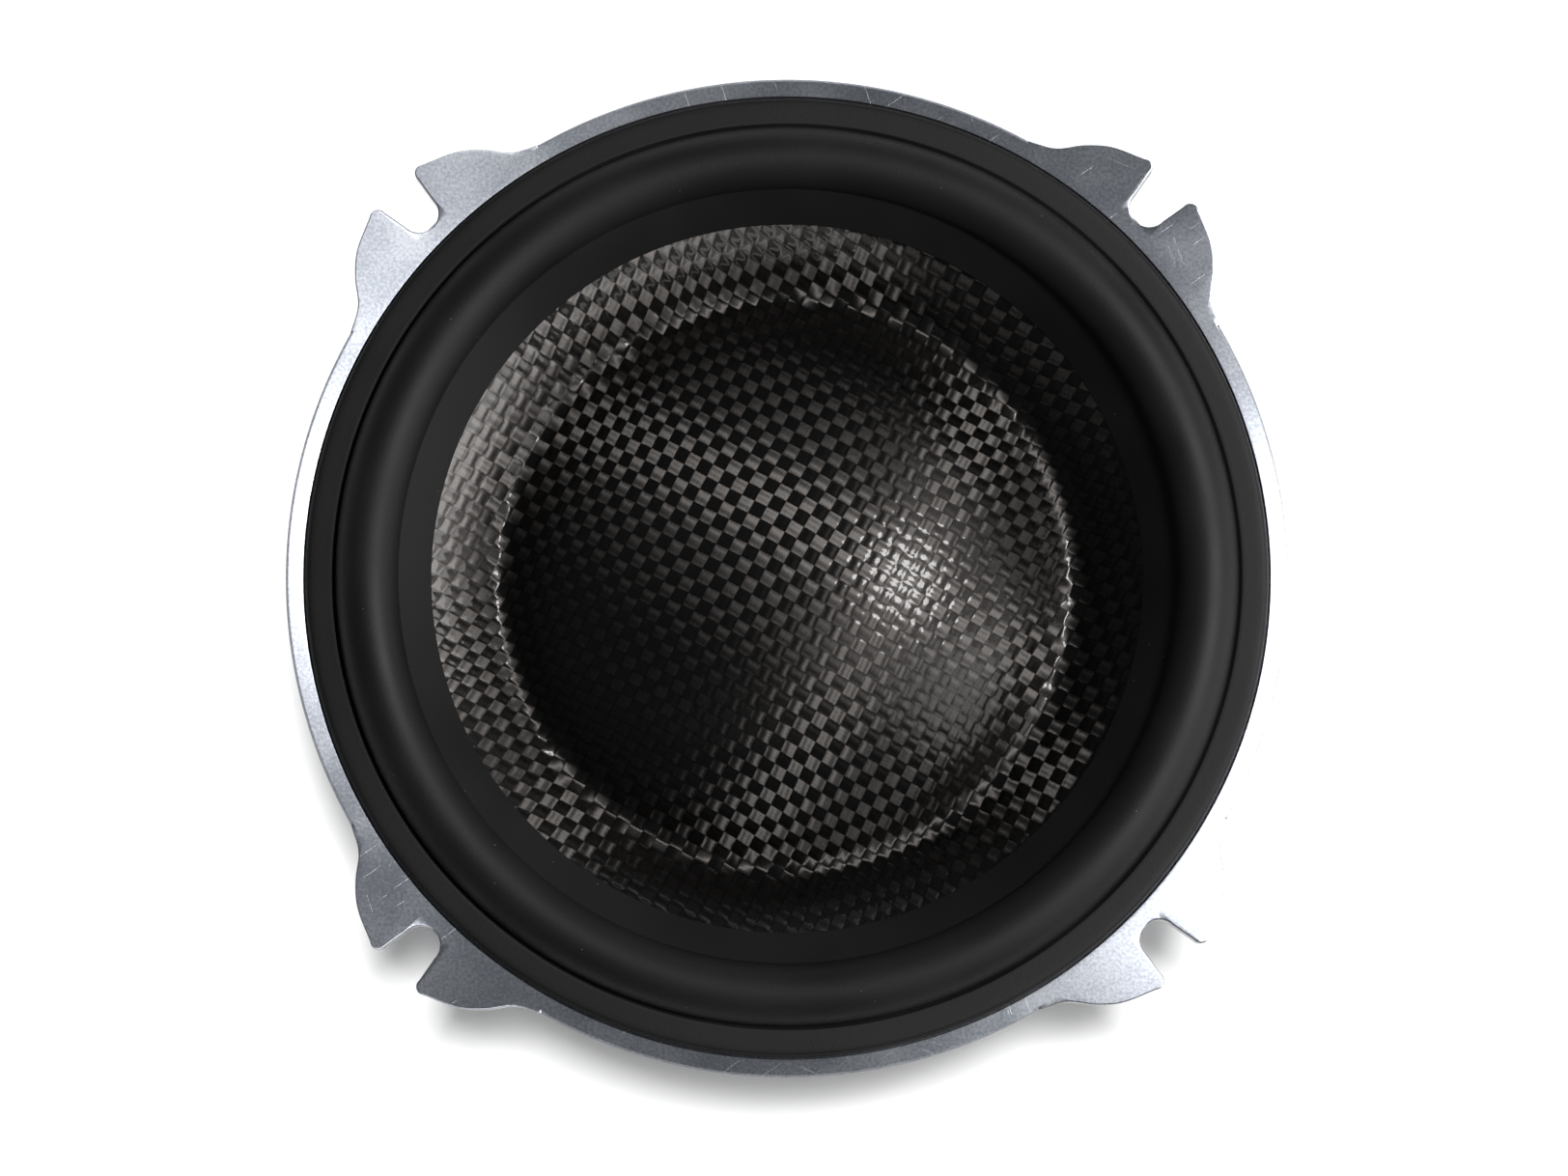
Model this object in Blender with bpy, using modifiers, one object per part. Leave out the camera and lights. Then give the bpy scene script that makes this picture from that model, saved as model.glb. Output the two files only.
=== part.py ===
"""Round car loudspeaker, 165 mm class, with a one-piece woven carbon diaphragm.

The speaker lies face up. Its origin is the centre of the motor's rear face and +Z is the
cone axis. The four fixing lugs stand on the diagonals. Every part is one closed solid.
Units are metres.
"""

from math import asin, cos, pi, radians, sin, tan

import bmesh
import bpy
from mathutils import Matrix, Vector

# ---------------------------------------------------------------- driving dimensions
GLUE_GAP = 0.0003  # between pieces that are glued or clamped together
CUT_SPARE = 0.0030  # how far a cutter runs past what it cuts

# Heights of the stack, from the motor's rear face up.
BACK_PLATE_TOP = 0.0070
MAGNET_TOP = 0.0253
TOP_PLATE_BOTTOM = 0.0256
TOP_PLATE_TOP = 0.0336
PAD_BOTTOM = 0.0339
PAD_TOP = 0.0384
LEDGE_TOP = 0.0459
FLANGE_BACK = 0.0750
FLANGE_FRONT = 0.0800

# Frame.
FLANGE_RADIUS = 0.0825
SEAT_RADIUS = 0.07955
SEAT_DEPTH = 0.0014
SEAT_INNER = 0.0736
THROAT_STEP = 0.0014
THROAT_RADIUS = 0.0685
CUTOUT_RADIUS = 0.0720
NECK_BOTTOM = 0.0675
FLANGE_CHAMFER = 0.0004
NECK_CHAMFER = 0.0010
LEDGE_RADIUS = 0.0575
WALL_INNER = 0.0505
WALL_OUTER = 0.0540
PAD_HOLE_RADIUS = 0.0330
PAD_RADIUS = 0.0515
LEDGE_THICK = 0.0019
WALL_TOP = 0.0420
WALL_FOOT = 0.0365
LUG_ROOT_TURN = radians(15.5)
LUG_ROOT_SHARE = 0.94  # of the root's turn, which keeps its inner corners in the flange
LUG_ROOT_WALL = 0.0008  # of metal kept between the lug's root and the rubber's seat
FIN_EDGE = [(0.0818, 0.0180), (0.0855, 0.0150), (0.0885, 0.0115)]
TIP_START = radians(40)
TIP_END = radians(-97)
LEG_OUTER = [(0.0532, 0.0372), (0.0590, 0.0440), (0.0680, 0.0590), (0.0716, 0.0702)]
LEG_INNER = [(0.0689, 0.0702), (0.0640, 0.0590), (0.0560, 0.0450), (0.0518, 0.0411)]
VENT_HALF_WIDTH = 0.0070
VENT_LOW = 0.0398
VENT_HIGH = 0.0432
VENT_SPARE = (0.0020, 0.0050)  # how far the cutter runs inside and outside the wall
GASKET_THICK = 0.0009
GASKET_MARGIN = (0.0015, 0.0010)  # inside and outside, to the flange's own edges
LUG_COUNT = 4
FIRST_LUG = radians(45)
SLOT_CENTRE = 0.0855
SLOT_RADIUS = 0.0032
TIP_CENTRE = (0.0898, 0.0053)
TIP_RADIUS = 0.0014
LEG_SPREAD = radians(9.5)
LEG_WIDTH = 0.0080

# Surround.
RIM_RADIUS = 0.07925
RIM_TOP = 0.0813
RIM_INNER = 0.0748
RIM_BEVEL = 0.00105
RIM_DRAFT = 0.0002
ROLL_RADIUS = 0.0691
ROLL_HALF_WIDTH = 0.0052
ROLL_HEIGHT = 0.0049
ROLL_FOOT = 0.0807
RUBBER_ROLL = 0.0009
RUBBER_LAND = 0.0006

# Diaphragm: one pressed shell, an inward-sloping band that turns up into a dome.
BAND_SLOPE = radians(43)
LAND_INNER = 0.0588
DIAPHRAGM_RADIUS = 0.0636
VALLEY_RADIUS = 0.0480
VALLEY_FILLET = 0.0013
DOME_RADIUS = 0.0820
CARBON = 0.0007
DRIVE_NECK_BOTTOM = 0.0505
DRIVE_NECK_TOP = 0.0536
NECK_FLARE = (0.0025, 0.0016)  # out and up, where the neck turns into the cone
LIP_REACH = (0.0018, 0.0016)  # of the glued lip, inside and outside the valley
LIP_EASE = (0.0014, 0.0006)  # in and down, where the cone turns into the lip

# Motor and voice coil.
PLATE_RADIUS = 0.0500
MAGNET_RADIUS = 0.0560
MAGNET_HOLE = 0.0290
POLE_RADIUS = 0.0236
POLE_TOP = 0.0370
VENT_RADIUS = 0.0075
VENT_FLARE = (0.0015, 0.0030)  # wider, and how deep, at the pole's mouth
SCREEN_SEAT_RADIUS = 0.0100
SCREEN_SEAT_DEPTH = 0.0020
CAP_BOTTOM = 0.0180
CAP_CLEARANCE = 0.0004
SHORTING_HEIGHT = 0.0040
GAP_RADIUS = 0.0273
FORMER_INNER = 0.0248
FORMER_OUTER = 0.0252
FORMER_BOTTOM = 0.0193
FORMER_TOP = 0.0560
WINDING_OUTER = 0.0267
WINDING_BOTTOM = 0.0198
WINDING_TOP = 0.0398
BOOT_RADIUS = 0.0588
BOOT_BOTTOM = 0.0025
BOOT_TOP = 0.0295
BOOT_BEVEL = 0.0015
SCREEN_THICK = 0.0006
SCREEN_PITCH = 0.0032
SCREEN_HOLE_RADIUS = 0.0011
EDGE_BREAK = 0.0010

# Spider.
SPIDER_RADIUS = 0.0562
SPIDER_WAVES = 3.5
SPIDER_FIRST_WAVE = 0.0280
SPIDER_LAST_WAVE = 0.0510
SPIDER_AMPLITUDE = 0.0015
SPIDER_CLOTH = 0.0005

# Motor screws.
SCREW_COUNT = 4
SCREW_CIRCLE = 0.0430
SCREW_HEAD_RADIUS = 0.0042
SCREW_HEAD = 0.0030
SCREW_SHANK_RADIUS = 0.0025
SCREW_TIP = 0.0275
SCREW_EDGE = 0.0004
SCREW_SOCKET_RADIUS = 0.0023
SCREW_SOCKET_DEPTH = 0.0018

# Terminals, on the -Y side.
BOARD_WIDTH = 0.0340
BOARD_THICK = 0.0029
BOARD_BEVEL = 0.0007
BOARD_FACE = 0.0580
BOARD_BOTTOM = 0.0375
BOSS_BOTTOM = 0.0380
BOSS_DEPTH = 0.0515
BOARD_TOP = 0.0530
TAB_THICK = 0.0008
TAB_REACH = 0.0700
TAB_OFFSET = 0.0065
TAB_WIDTHS = {"positive": 0.0063, "negative": 0.0048}
TAB_SIDES = {"positive": 1, "negative": -1}
BOARD_SCREW_X = 0.0135
BOARD_SCREW_Z = 0.0420
BOARD_SCREW_RADIUS = 0.0012
BOARD_SCREW_LENGTH = 0.0035  # each way from the board's inner face
BOARD_SCREW_SPARE = 0.0005
BOARD_SCREW_HEAD_RADIUS = 0.0026
BOARD_SCREW_CROWN = [(0, 0.0016), (0.0017, 0.0013), (BOARD_SCREW_HEAD_RADIUS, 0.0004)]
TAB_FOOT = 0.0405
LEAD_RADIUS = 0.0006
LEAD_CLEARANCE = 0.0002  # beyond the glue gap, to the former

# Facets round a full turn.
FLANGE_SIDES = 72
CONE_SIDES = 48
MOTOR_SIDES = 40
SPIDER_SIDES = 32
SMALL_SIDES = 16

# Steps along a section's curves.
ROLL_STEPS = 8
BEVEL_STEPS = 2
DOME_STEPS = 7
FILLET_STEPS = 3
WAVE_STEPS = 4
SHARP_CORNER = radians(28)
MERGE = 0.00002


# ---------------------------------------------------------------- scene and helpers
def clear_scene():
    for item in list(bpy.data.objects):
        bpy.data.objects.remove(item, do_unlink=True)


def new_collection(name):
    made = bpy.data.collections.new(name)
    bpy.context.scene.collection.children.link(made)
    return made


clear_scene()
PARTS = new_collection("car_subwoofer_speaker")
CUTTERS = new_collection("cutters")


def material(name, colour, roughness, metallic=0.0):
    made = bpy.data.materials.new(name)
    made.use_nodes = True
    shader = made.node_tree.nodes["Principled BSDF"]
    shader.inputs["Base Color"].default_value = (*colour, 1.0)
    shader.inputs["Roughness"].default_value = roughness
    shader.inputs["Metallic"].default_value = metallic
    made.diffuse_color = (*colour, 1.0)
    return made


MACHINED = material("machined_aluminium", (0.60, 0.61, 0.63), 0.28, 1.0)
RUBBER = material("surround_rubber", (0.022, 0.022, 0.024), 0.62)
CARBON_CLOTH = material("woven_carbon", (0.035, 0.033, 0.033), 0.32)
DRIVE_FIBRE = material("drive_cone_fibre", (0.09, 0.06, 0.03), 0.70)
SPIDER_LOOK = material("spider_cloth", (0.42, 0.25, 0.06), 0.85)
PLATED_STEEL = material("black_zinc_steel", (0.05, 0.05, 0.055), 0.38, 1.0)
FERRITE = material("ferrite", (0.04, 0.04, 0.042), 0.55)
BOOT_RUBBER = material("boot_rubber", (0.018, 0.018, 0.019), 0.70)
COPPER = material("copper", (0.72, 0.31, 0.16), 0.30, 1.0)
SHORTING_ALUMINIUM = material("shorting_aluminium", (0.70, 0.71, 0.73), 0.35, 1.0)
POLYIMIDE = material("former_polyimide", (0.16, 0.07, 0.015), 0.35)
FOAM = material("gasket_foam", (0.03, 0.03, 0.03), 0.95)
BOARD_RESIN = material("terminal_resin", (0.03, 0.03, 0.032), 0.45)
PLATED_BRASS = material("plated_brass", (0.80, 0.60, 0.24), 0.25, 1.0)
ZINC_STEEL = material("zinc_steel", (0.55, 0.56, 0.58), 0.30, 1.0)
TINSEL = material("tinsel_braid", (0.66, 0.60, 0.50), 0.45, 1.0)


def file_under(part, look, group):
    """Link a part to the model, or to the cutters, and give it its material."""
    (group or PARTS).objects.link(part)
    if look:
        part.data.materials.append(look)
    if group is CUTTERS:
        part.hide_render = True
        part.display_type = "WIRE"
    return part


def add_object(name, data, look=None, group=None):
    return file_under(bpy.data.objects.new(name, data), look, group)


def settle(part):
    """Apply the part's modifiers, with round faces smooth and corners sharp."""
    graph = bpy.context.evaluated_depsgraph_get()
    mesh = bpy.data.meshes.new_from_object(part.evaluated_get(graph))
    part.modifiers.clear()
    part.data = mesh
    mesh.shade_smooth()
    mesh.set_sharp_from_angle(angle=SHARP_CORNER)
    return part


def turned(name, outline, sides, look=None, group=None, closed=True):
    """Turn an (r, z) outline about Z. It runs outward along its top, then down and back."""
    count = len(outline)
    edges = [(i, (i + 1) % count) for i in range(count if closed else count - 1)]
    mesh = bpy.data.meshes.new(name)
    mesh.from_pydata([(r, 0, z) for r, z in outline], edges, [])
    part = add_object(name, mesh, look, group)
    screw = part.modifiers.new("turn", "SCREW")
    screw.axis = "Z"
    screw.angle = 2 * pi
    screw.steps = screw.render_steps = sides
    screw.use_merge_vertices = True
    screw.merge_threshold = MERGE
    return settle(part)


def flat_plate(name, outline, thickness, look=None, group=None):
    """A plate with an (x, y) outline, centred on z = 0."""
    curve = bpy.data.curves.new(name, "CURVE")
    curve.dimensions = "2D"
    curve.fill_mode = "BOTH"
    curve.extrude = thickness / 2
    spline = curve.splines.new("POLY")
    spline.points.add(len(outline) - 1)
    for point, (x, y) in zip(spline.points, outline):
        point.co = (x, y, 0, 1)
    spline.use_cyclic_u = True
    drawn = add_object(name, curve, group=group)
    graph = bpy.context.evaluated_depsgraph_get()
    mesh = bpy.data.meshes.new_from_object(drawn.evaluated_get(graph))
    bpy.data.objects.remove(drawn)
    return add_object(name, weld(mesh), look, group)


def weld(mesh):
    """Join a mesh's loose caps to its walls, with every face pointing out."""
    work = bmesh.new()
    work.from_mesh(mesh)
    bmesh.ops.remove_doubles(work, verts=work.verts, dist=MERGE)
    bmesh.ops.recalc_face_normals(work, faces=work.faces)
    work.to_mesh(mesh)
    work.free()
    return mesh


def block(name, low, high, look=None, group=None):
    """A box between two corners."""
    size = Vector(high) - Vector(low)
    bpy.ops.mesh.primitive_cube_add(size=1, location=(0, 0, 0))
    part = bpy.context.active_object
    part.name = part.data.name = name
    part.data.transform(Matrix.Diagonal((*size, 1)))
    part.location = (Vector(low) + Vector(high)) / 2
    return adopt(part, look, group)


def rod(name, radius, bottom, top, sides, look=None, group=None):
    """An upright cylinder on the Z axis."""
    bpy.ops.mesh.primitive_cylinder_add(vertices=sides, radius=radius, depth=top - bottom)
    part = bpy.context.active_object
    part.name = part.data.name = name
    part.location = (0, 0, (top + bottom) / 2)
    return adopt(part, look, group)


def adopt(part, look, group):
    """Move a primitive out of the collection that it was added to."""
    for old in list(part.users_collection):
        old.objects.unlink(part)
    return file_under(part, look, group)


def combine(part, others, operation):
    """Boolean the others into the part, one after the other."""
    bpy.context.view_layer.update()
    for other in others:
        step = part.modifiers.new(operation.lower(), "BOOLEAN")
        step.operation = operation
        step.solver = "EXACT"
        step.object = other
    return settle(part)


def polar_place(part, radius, angle):
    """Put a part modelled on the Z axis at a radius and an angle round it."""
    part.location.x = radius * cos(angle)
    part.location.y = radius * sin(angle)
    part.rotation_euler.z = angle


def arc(centre, radii, start, end, steps):
    """Points of an ellipse arc, both ends included."""
    turns = [start + (end - start) * i / steps for i in range(steps + 1)]
    return [(centre[0] + radii[0] * cos(a), centre[1] + radii[1] * sin(a)) for a in turns]


def smooth_through(points, steps):
    """A Catmull-Rom curve through the points."""
    ends = [2 * Vector(points[0]) - Vector(points[1]), 2 * Vector(points[-1]) - Vector(points[-2])]
    knots = [ends[0], *map(Vector, points), ends[1]]
    path = []
    for a, b, c, d in zip(knots, knots[1:], knots[2:], knots[3:]):
        for i in range(steps):
            t = i / steps
            bend = 2 * a - 5 * b + 4 * c - d
            swing = 3 * b - 3 * c + d - a
            path.append(0.5 * (2 * b + (c - a) * t + bend * t**2 + swing * t**3))
    return [*path, Vector(points[-1])]


def below(top, thickness):
    """The underside of a shell: its top path moved down along its normals."""
    path = []
    for i, (r, z) in enumerate(top):
        before = Vector(top[max(i - 1, 0)])
        after = Vector(top[min(i + 1, len(top) - 1)])
        here = Vector((r, z))
        sides = [v.normalized() for v in (here - before, after - here) if v.length > 0]
        normal = sum((Vector((v.y, -v.x)) for v in sides), Vector((0, 0))).normalized()
        miter = normal.dot(Vector((sides[0].y, -sides[0].x)))
        moved = here + normal * thickness / miter
        path.append((moved.x if r > 0 else 0.0, moved.y))
    return path


def shell(name, top, thickness, sides, look):
    """A turned shell from its top path, which runs outward."""
    touches_axis = top[0][0] == 0
    outline = [*top, *reversed(below(top, thickness))]
    return turned(name, outline, sides, look, closed=not touches_axis)


# ---------------------------------------------------------------- shared profiles
def band_height(radius):
    """Front face of the diaphragm's sloping band."""
    land_underside = ROLL_FOOT - (ROLL_RADIUS - ROLL_HALF_WIDTH - radius) * tan(BAND_SLOPE)
    return land_underside - (RUBBER_LAND + GLUE_GAP) / cos(BAND_SLOPE)


def diaphragm_top(dome_steps, fillet_steps):
    """Front face of the diaphragm, from the dome's apex out to the edge under the rubber."""
    valley = Vector((VALLEY_RADIUS, band_height(VALLEY_RADIUS)))
    dome_edge = asin(VALLEY_RADIUS / DOME_RADIUS)
    dome_centre = valley.y - DOME_RADIUS * cos(dome_edge)
    opening = pi - BAND_SLOPE - dome_edge
    trim = VALLEY_FILLET / tan(opening / 2)
    last = dome_edge - trim / DOME_RADIUS
    dome = arc((0, dome_centre), (DOME_RADIUS, DOME_RADIUS), pi / 2, pi / 2 - last, dome_steps)
    dome[0] = (0.0, dome[0][1])
    lean = (pi + BAND_SLOPE - dome_edge) / 2
    reach = VALLEY_FILLET / sin(opening / 2)
    centre = valley + reach * Vector((cos(lean), sin(lean)))
    radii = (VALLEY_FILLET, VALLEY_FILLET)
    fillet = arc(centre, radii, 1.5 * pi - dome_edge, 1.5 * pi + BAND_SLOPE, fillet_steps)
    edge = (DIAPHRAGM_RADIUS, band_height(DIAPHRAGM_RADIUS))
    return [*dome, *fillet[1:], edge]


def surround_outline(roll_steps, bevel_steps):
    """Closed section of the rubber surround: land, convex half roll and glued rim."""
    foot_in = ROLL_RADIUS - ROLL_HALF_WIDTH
    land = ROLL_FOOT - (foot_in - LAND_INNER) * tan(BAND_SLOPE)
    thick_land = RUBBER_LAND / cos(BAND_SLOPE)
    centre = (ROLL_RADIUS, ROLL_FOOT)
    upper = arc(centre, (ROLL_HALF_WIDTH, ROLL_HEIGHT), pi, 0, roll_steps)
    inner = (ROLL_HALF_WIDTH - RUBBER_ROLL, ROLL_HEIGHT - RUBBER_ROLL)
    lower = arc(centre, inner, 0, pi, roll_steps - 2)
    bevel_centre = (RIM_RADIUS - RIM_BEVEL, RIM_TOP - RIM_BEVEL)
    bevel = arc(bevel_centre, (RIM_BEVEL, RIM_BEVEL), pi / 2, 0, bevel_steps)
    bottom = FLANGE_FRONT - SEAT_DEPTH + GLUE_GAP
    start = [(LAND_INNER, land), *upper, (RIM_INNER, RIM_TOP), *bevel]
    back = [(RIM_RADIUS, bottom), (RIM_INNER - RIM_DRAFT, bottom), *lower]
    return [*start, *back, (LAND_INNER, land - thick_land)]


# ---------------------------------------------------------------- frame
def lug_outline():
    """Plan of one lug on +X: two fins round an open slot, its root inside the flange."""
    root = (FLANGE_RADIUS * cos(LUG_ROOT_TURN), FLANGE_RADIUS * sin(LUG_ROOT_TURN))
    tip = arc(TIP_CENTRE, (TIP_RADIUS, TIP_RADIUS), TIP_START, TIP_END, 7)
    fin = smooth_through([root, *FIN_EDGE, tip[0]], 3)
    half_slot = arc((SLOT_CENTRE, 0), (SLOT_RADIUS, SLOT_RADIUS), pi / 2, pi, 6)
    upper = [*[(p.x, p.y) for p in fin], *tip[1:], *half_slot]
    lower = [(x, -y) for x, y in reversed(upper[:-1])]
    inner = SEAT_RADIUS + LUG_ROOT_WALL
    half_root = LUG_ROOT_SHARE * LUG_ROOT_TURN
    root_arc = arc((0, 0), (inner, inner), -half_root, half_root, 6)
    return [*upper, *lower, *root_arc]


def leg_outline():
    """Side view of one frame leg in the (r, z) plane, from the spider ledge to the flange."""
    edges = (*smooth_through(LEG_OUTER, 3), *smooth_through(LEG_INNER, 3))
    return [(p.x, p.y) for p in edges]


def build_legs():
    legs = []
    stand_up = Matrix.Rotation(pi / 2, 4, "X")
    for lug in range(LUG_COUNT):
        for side in (-1, 1):
            turn = FIRST_LUG + 2 * pi * lug / LUG_COUNT + side * LEG_SPREAD
            leg = flat_plate(f"leg_{lug}_{side}", leg_outline(), LEG_WIDTH, group=CUTTERS)
            leg.data.transform(Matrix.Rotation(turn, 4, "Z") @ stand_up)
            legs.append(leg)
    return legs


def build_lugs():
    lugs = []
    for lug in range(LUG_COUNT):
        made = flat_plate(f"lug_{lug}", lug_outline(), FLANGE_FRONT - FLANGE_BACK, group=CUTTERS)
        made.location.z = (FLANGE_FRONT + FLANGE_BACK) / 2
        made.rotation_euler.z = FIRST_LUG + 2 * pi * lug / LUG_COUNT
        lugs.append(made)
    return lugs


def build_vents():
    """Cooling slots through the wall under the spider ledge."""
    low = (WALL_INNER - VENT_SPARE[0], -VENT_HALF_WIDTH, VENT_LOW)
    high = (WALL_OUTER + VENT_SPARE[1], VENT_HALF_WIDTH, VENT_HIGH)
    vents = []
    for side in range(3):  # the fourth side carries the terminal board
        vent = block(f"vent_{side}", low, high, group=CUTTERS)
        vent.data.transform(Matrix.Translation(vent.location))
        vent.location = (0, 0, 0)
        vent.rotation_euler.z = side * pi / 2
        vents.append(vent)
    return vents


def screw_places():
    return [2 * pi * i / SCREW_COUNT + pi / 4 for i in range(SCREW_COUNT)]


def screw_holes(name, bottom, top):
    holes = []
    for i, turn in enumerate(screw_places()):
        radius = SCREW_SHANK_RADIUS + GLUE_GAP
        hole = rod(f"{name}_{i}", radius, bottom, top, SMALL_SIDES, group=CUTTERS)
        polar_place(hole, SCREW_CIRCLE, turn)
        holes.append(hole)
    return holes


def board_screw_holes(name):
    radius = BOARD_SCREW_RADIUS + GLUE_GAP
    reach = BOARD_SCREW_LENGTH + BOARD_SCREW_SPARE
    holes = []
    for side in (-1, 1):
        hole = rod(f"{name}_{side}", radius, -reach, reach, SMALL_SIDES, group=CUTTERS)
        hole.rotation_euler.x = pi / 2
        hole.location = (side * BOARD_SCREW_X, -BOARD_FACE, BOARD_SCREW_Z)
        holes.append(hole)
    return holes


def build_basket():
    """Frame: machined flange with lugs, eight legs in pairs, spider ledge and motor pad."""
    seat = FLANGE_FRONT - SEAT_DEPTH
    flange = [
        (THROAT_RADIUS, seat - THROAT_STEP),
        (SEAT_INNER, seat - THROAT_STEP),
        (SEAT_INNER, seat),
        (SEAT_RADIUS, seat),
        (SEAT_RADIUS, FLANGE_FRONT),
        (FLANGE_RADIUS - FLANGE_CHAMFER, FLANGE_FRONT),
        (FLANGE_RADIUS, FLANGE_FRONT - FLANGE_CHAMFER),
        (FLANGE_RADIUS, FLANGE_BACK),
        (CUTOUT_RADIUS, FLANGE_BACK),
        (CUTOUT_RADIUS, NECK_BOTTOM + NECK_CHAMFER),
        (CUTOUT_RADIUS - NECK_CHAMFER, NECK_BOTTOM),
        (THROAT_RADIUS + NECK_CHAMFER, NECK_BOTTOM),
        (THROAT_RADIUS, NECK_BOTTOM + NECK_CHAMFER),
    ]
    cup = [
        (PAD_HOLE_RADIUS, PAD_TOP),
        (WALL_INNER, PAD_TOP),
        (WALL_INNER, LEDGE_TOP),
        (LEDGE_RADIUS, LEDGE_TOP),
        (LEDGE_RADIUS, LEDGE_TOP - LEDGE_THICK),
        (WALL_OUTER, WALL_TOP),
        (WALL_OUTER, WALL_FOOT),
        (PAD_RADIUS, PAD_BOTTOM),
        (PAD_HOLE_RADIUS, PAD_BOTTOM),
    ]
    basket = turned("basket", flange, FLANGE_SIDES, MACHINED)
    bowl = turned("basket_cup", cup, CONE_SIDES, group=CUTTERS)
    half = BOARD_WIDTH / 2
    boss_low = (-half, GLUE_GAP - BOARD_FACE, BOSS_BOTTOM)
    boss_high = (half, -BOSS_DEPTH, LEDGE_TOP)
    boss = block("board_boss", boss_low, boss_high, group=CUTTERS)
    combine(basket, [bowl, *build_lugs(), *build_legs(), boss], "UNION")
    pad_holes = screw_holes("pad_hole", PAD_BOTTOM - CUT_SPARE, PAD_TOP + CUT_SPARE)
    cutters = [*build_vents(), *pad_holes, *board_screw_holes("boss_hole")]
    return combine(basket, cutters, "DIFFERENCE")


def build_gasket():
    """Foam ring under the flange, which seals it to the panel it is screwed to."""
    inner = CUTOUT_RADIUS + GASKET_MARGIN[0]
    outer = FLANGE_RADIUS - GASKET_MARGIN[1]
    top = FLANGE_BACK - GLUE_GAP
    bottom = top - GASKET_THICK
    outline = [(inner, top), (outer, top), (outer, bottom), (inner, bottom)]
    return turned("baffle_gasket", outline, CONE_SIDES, FOAM)


# ---------------------------------------------------------------- moving parts
def build_surround():
    return turned("surround", surround_outline(ROLL_STEPS, BEVEL_STEPS), CONE_SIDES, RUBBER)


def build_diaphragm():
    front = diaphragm_top(DOME_STEPS, FILLET_STEPS)
    return shell("diaphragm", front, CARBON, CONE_SIDES, CARBON_CLOTH)


def build_drive_cone():
    """Short cone that carries the coil's force from the former to the diaphragm's valley."""
    neck = FORMER_OUTER + GLUE_GAP
    valley = min(z for r, z in diaphragm_top(DOME_STEPS, FILLET_STEPS) if r > 0)
    lip = valley - CARBON - GLUE_GAP
    lip_start = VALLEY_RADIUS - LIP_REACH[0]
    path = [
        (neck, DRIVE_NECK_BOTTOM),
        (neck, DRIVE_NECK_TOP),
        (neck + NECK_FLARE[0], DRIVE_NECK_TOP + NECK_FLARE[1]),
        (lip_start - LIP_EASE[0], lip - LIP_EASE[1]),
        (lip_start, lip),
        (VALLEY_RADIUS + LIP_REACH[1], lip),
    ]
    return shell("drive_cone", path, CARBON, MOTOR_SIDES, DRIVE_FIBRE)


def spider_top(steps_per_wave):
    """Rolls of the spider between its inner collar and its glued rim."""
    flat = LEDGE_TOP + GLUE_GAP + SPIDER_CLOTH
    steps = int(SPIDER_WAVES * steps_per_wave)
    width = SPIDER_LAST_WAVE - SPIDER_FIRST_WAVE
    path = [(FORMER_OUTER + GLUE_GAP, flat)]
    for i in range(steps + 1):
        radius = SPIDER_FIRST_WAVE + width * i / steps
        path.append((radius, flat + SPIDER_AMPLITUDE * sin(2 * pi * i / steps_per_wave)))
    return [*path, (SPIDER_RADIUS, flat)]


def build_spider():
    return shell("spider", spider_top(WAVE_STEPS), SPIDER_CLOTH, SPIDER_SIDES, SPIDER_LOOK)


def sleeve(name, inner, outer, bottom, top, look):
    outline = [(inner, top), (outer, top), (outer, bottom), (inner, bottom)]
    return turned(name, outline, MOTOR_SIDES, look)


def build_coil():
    sleeve("coil_former", FORMER_INNER, FORMER_OUTER, FORMER_BOTTOM, FORMER_TOP, POLYIMIDE)
    wound_on = FORMER_OUTER + GLUE_GAP
    sleeve("coil_winding", wound_on, WINDING_OUTER, WINDING_BOTTOM, WINDING_TOP, COPPER)


# ---------------------------------------------------------------- motor
def build_yoke():
    """Back plate and vented pole, one forging."""
    outline = [
        (VENT_RADIUS + VENT_FLARE[0], POLE_TOP),
        (POLE_RADIUS - EDGE_BREAK, POLE_TOP),
        (POLE_RADIUS, POLE_TOP - EDGE_BREAK),
        (POLE_RADIUS, BACK_PLATE_TOP),
        (PLATE_RADIUS - EDGE_BREAK, BACK_PLATE_TOP),
        (PLATE_RADIUS, BACK_PLATE_TOP - EDGE_BREAK),
        (PLATE_RADIUS, EDGE_BREAK),
        (PLATE_RADIUS - EDGE_BREAK, 0),
        (SCREEN_SEAT_RADIUS, 0),
        (SCREEN_SEAT_RADIUS, SCREEN_SEAT_DEPTH),
        (VENT_RADIUS, SCREEN_SEAT_DEPTH),
        (VENT_RADIUS, POLE_TOP - VENT_FLARE[1]),
    ]
    return turned("yoke", outline, MOTOR_SIDES, PLATED_STEEL)


def chamfered_ring(name, inner, outer, bottom, top, look):
    outline = [
        (inner, top),
        (outer - EDGE_BREAK, top),
        (outer, top - EDGE_BREAK),
        (outer, bottom + EDGE_BREAK),
        (outer - EDGE_BREAK, bottom),
        (inner, bottom),
    ]
    return turned(name, outline, MOTOR_SIDES, look)


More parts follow.
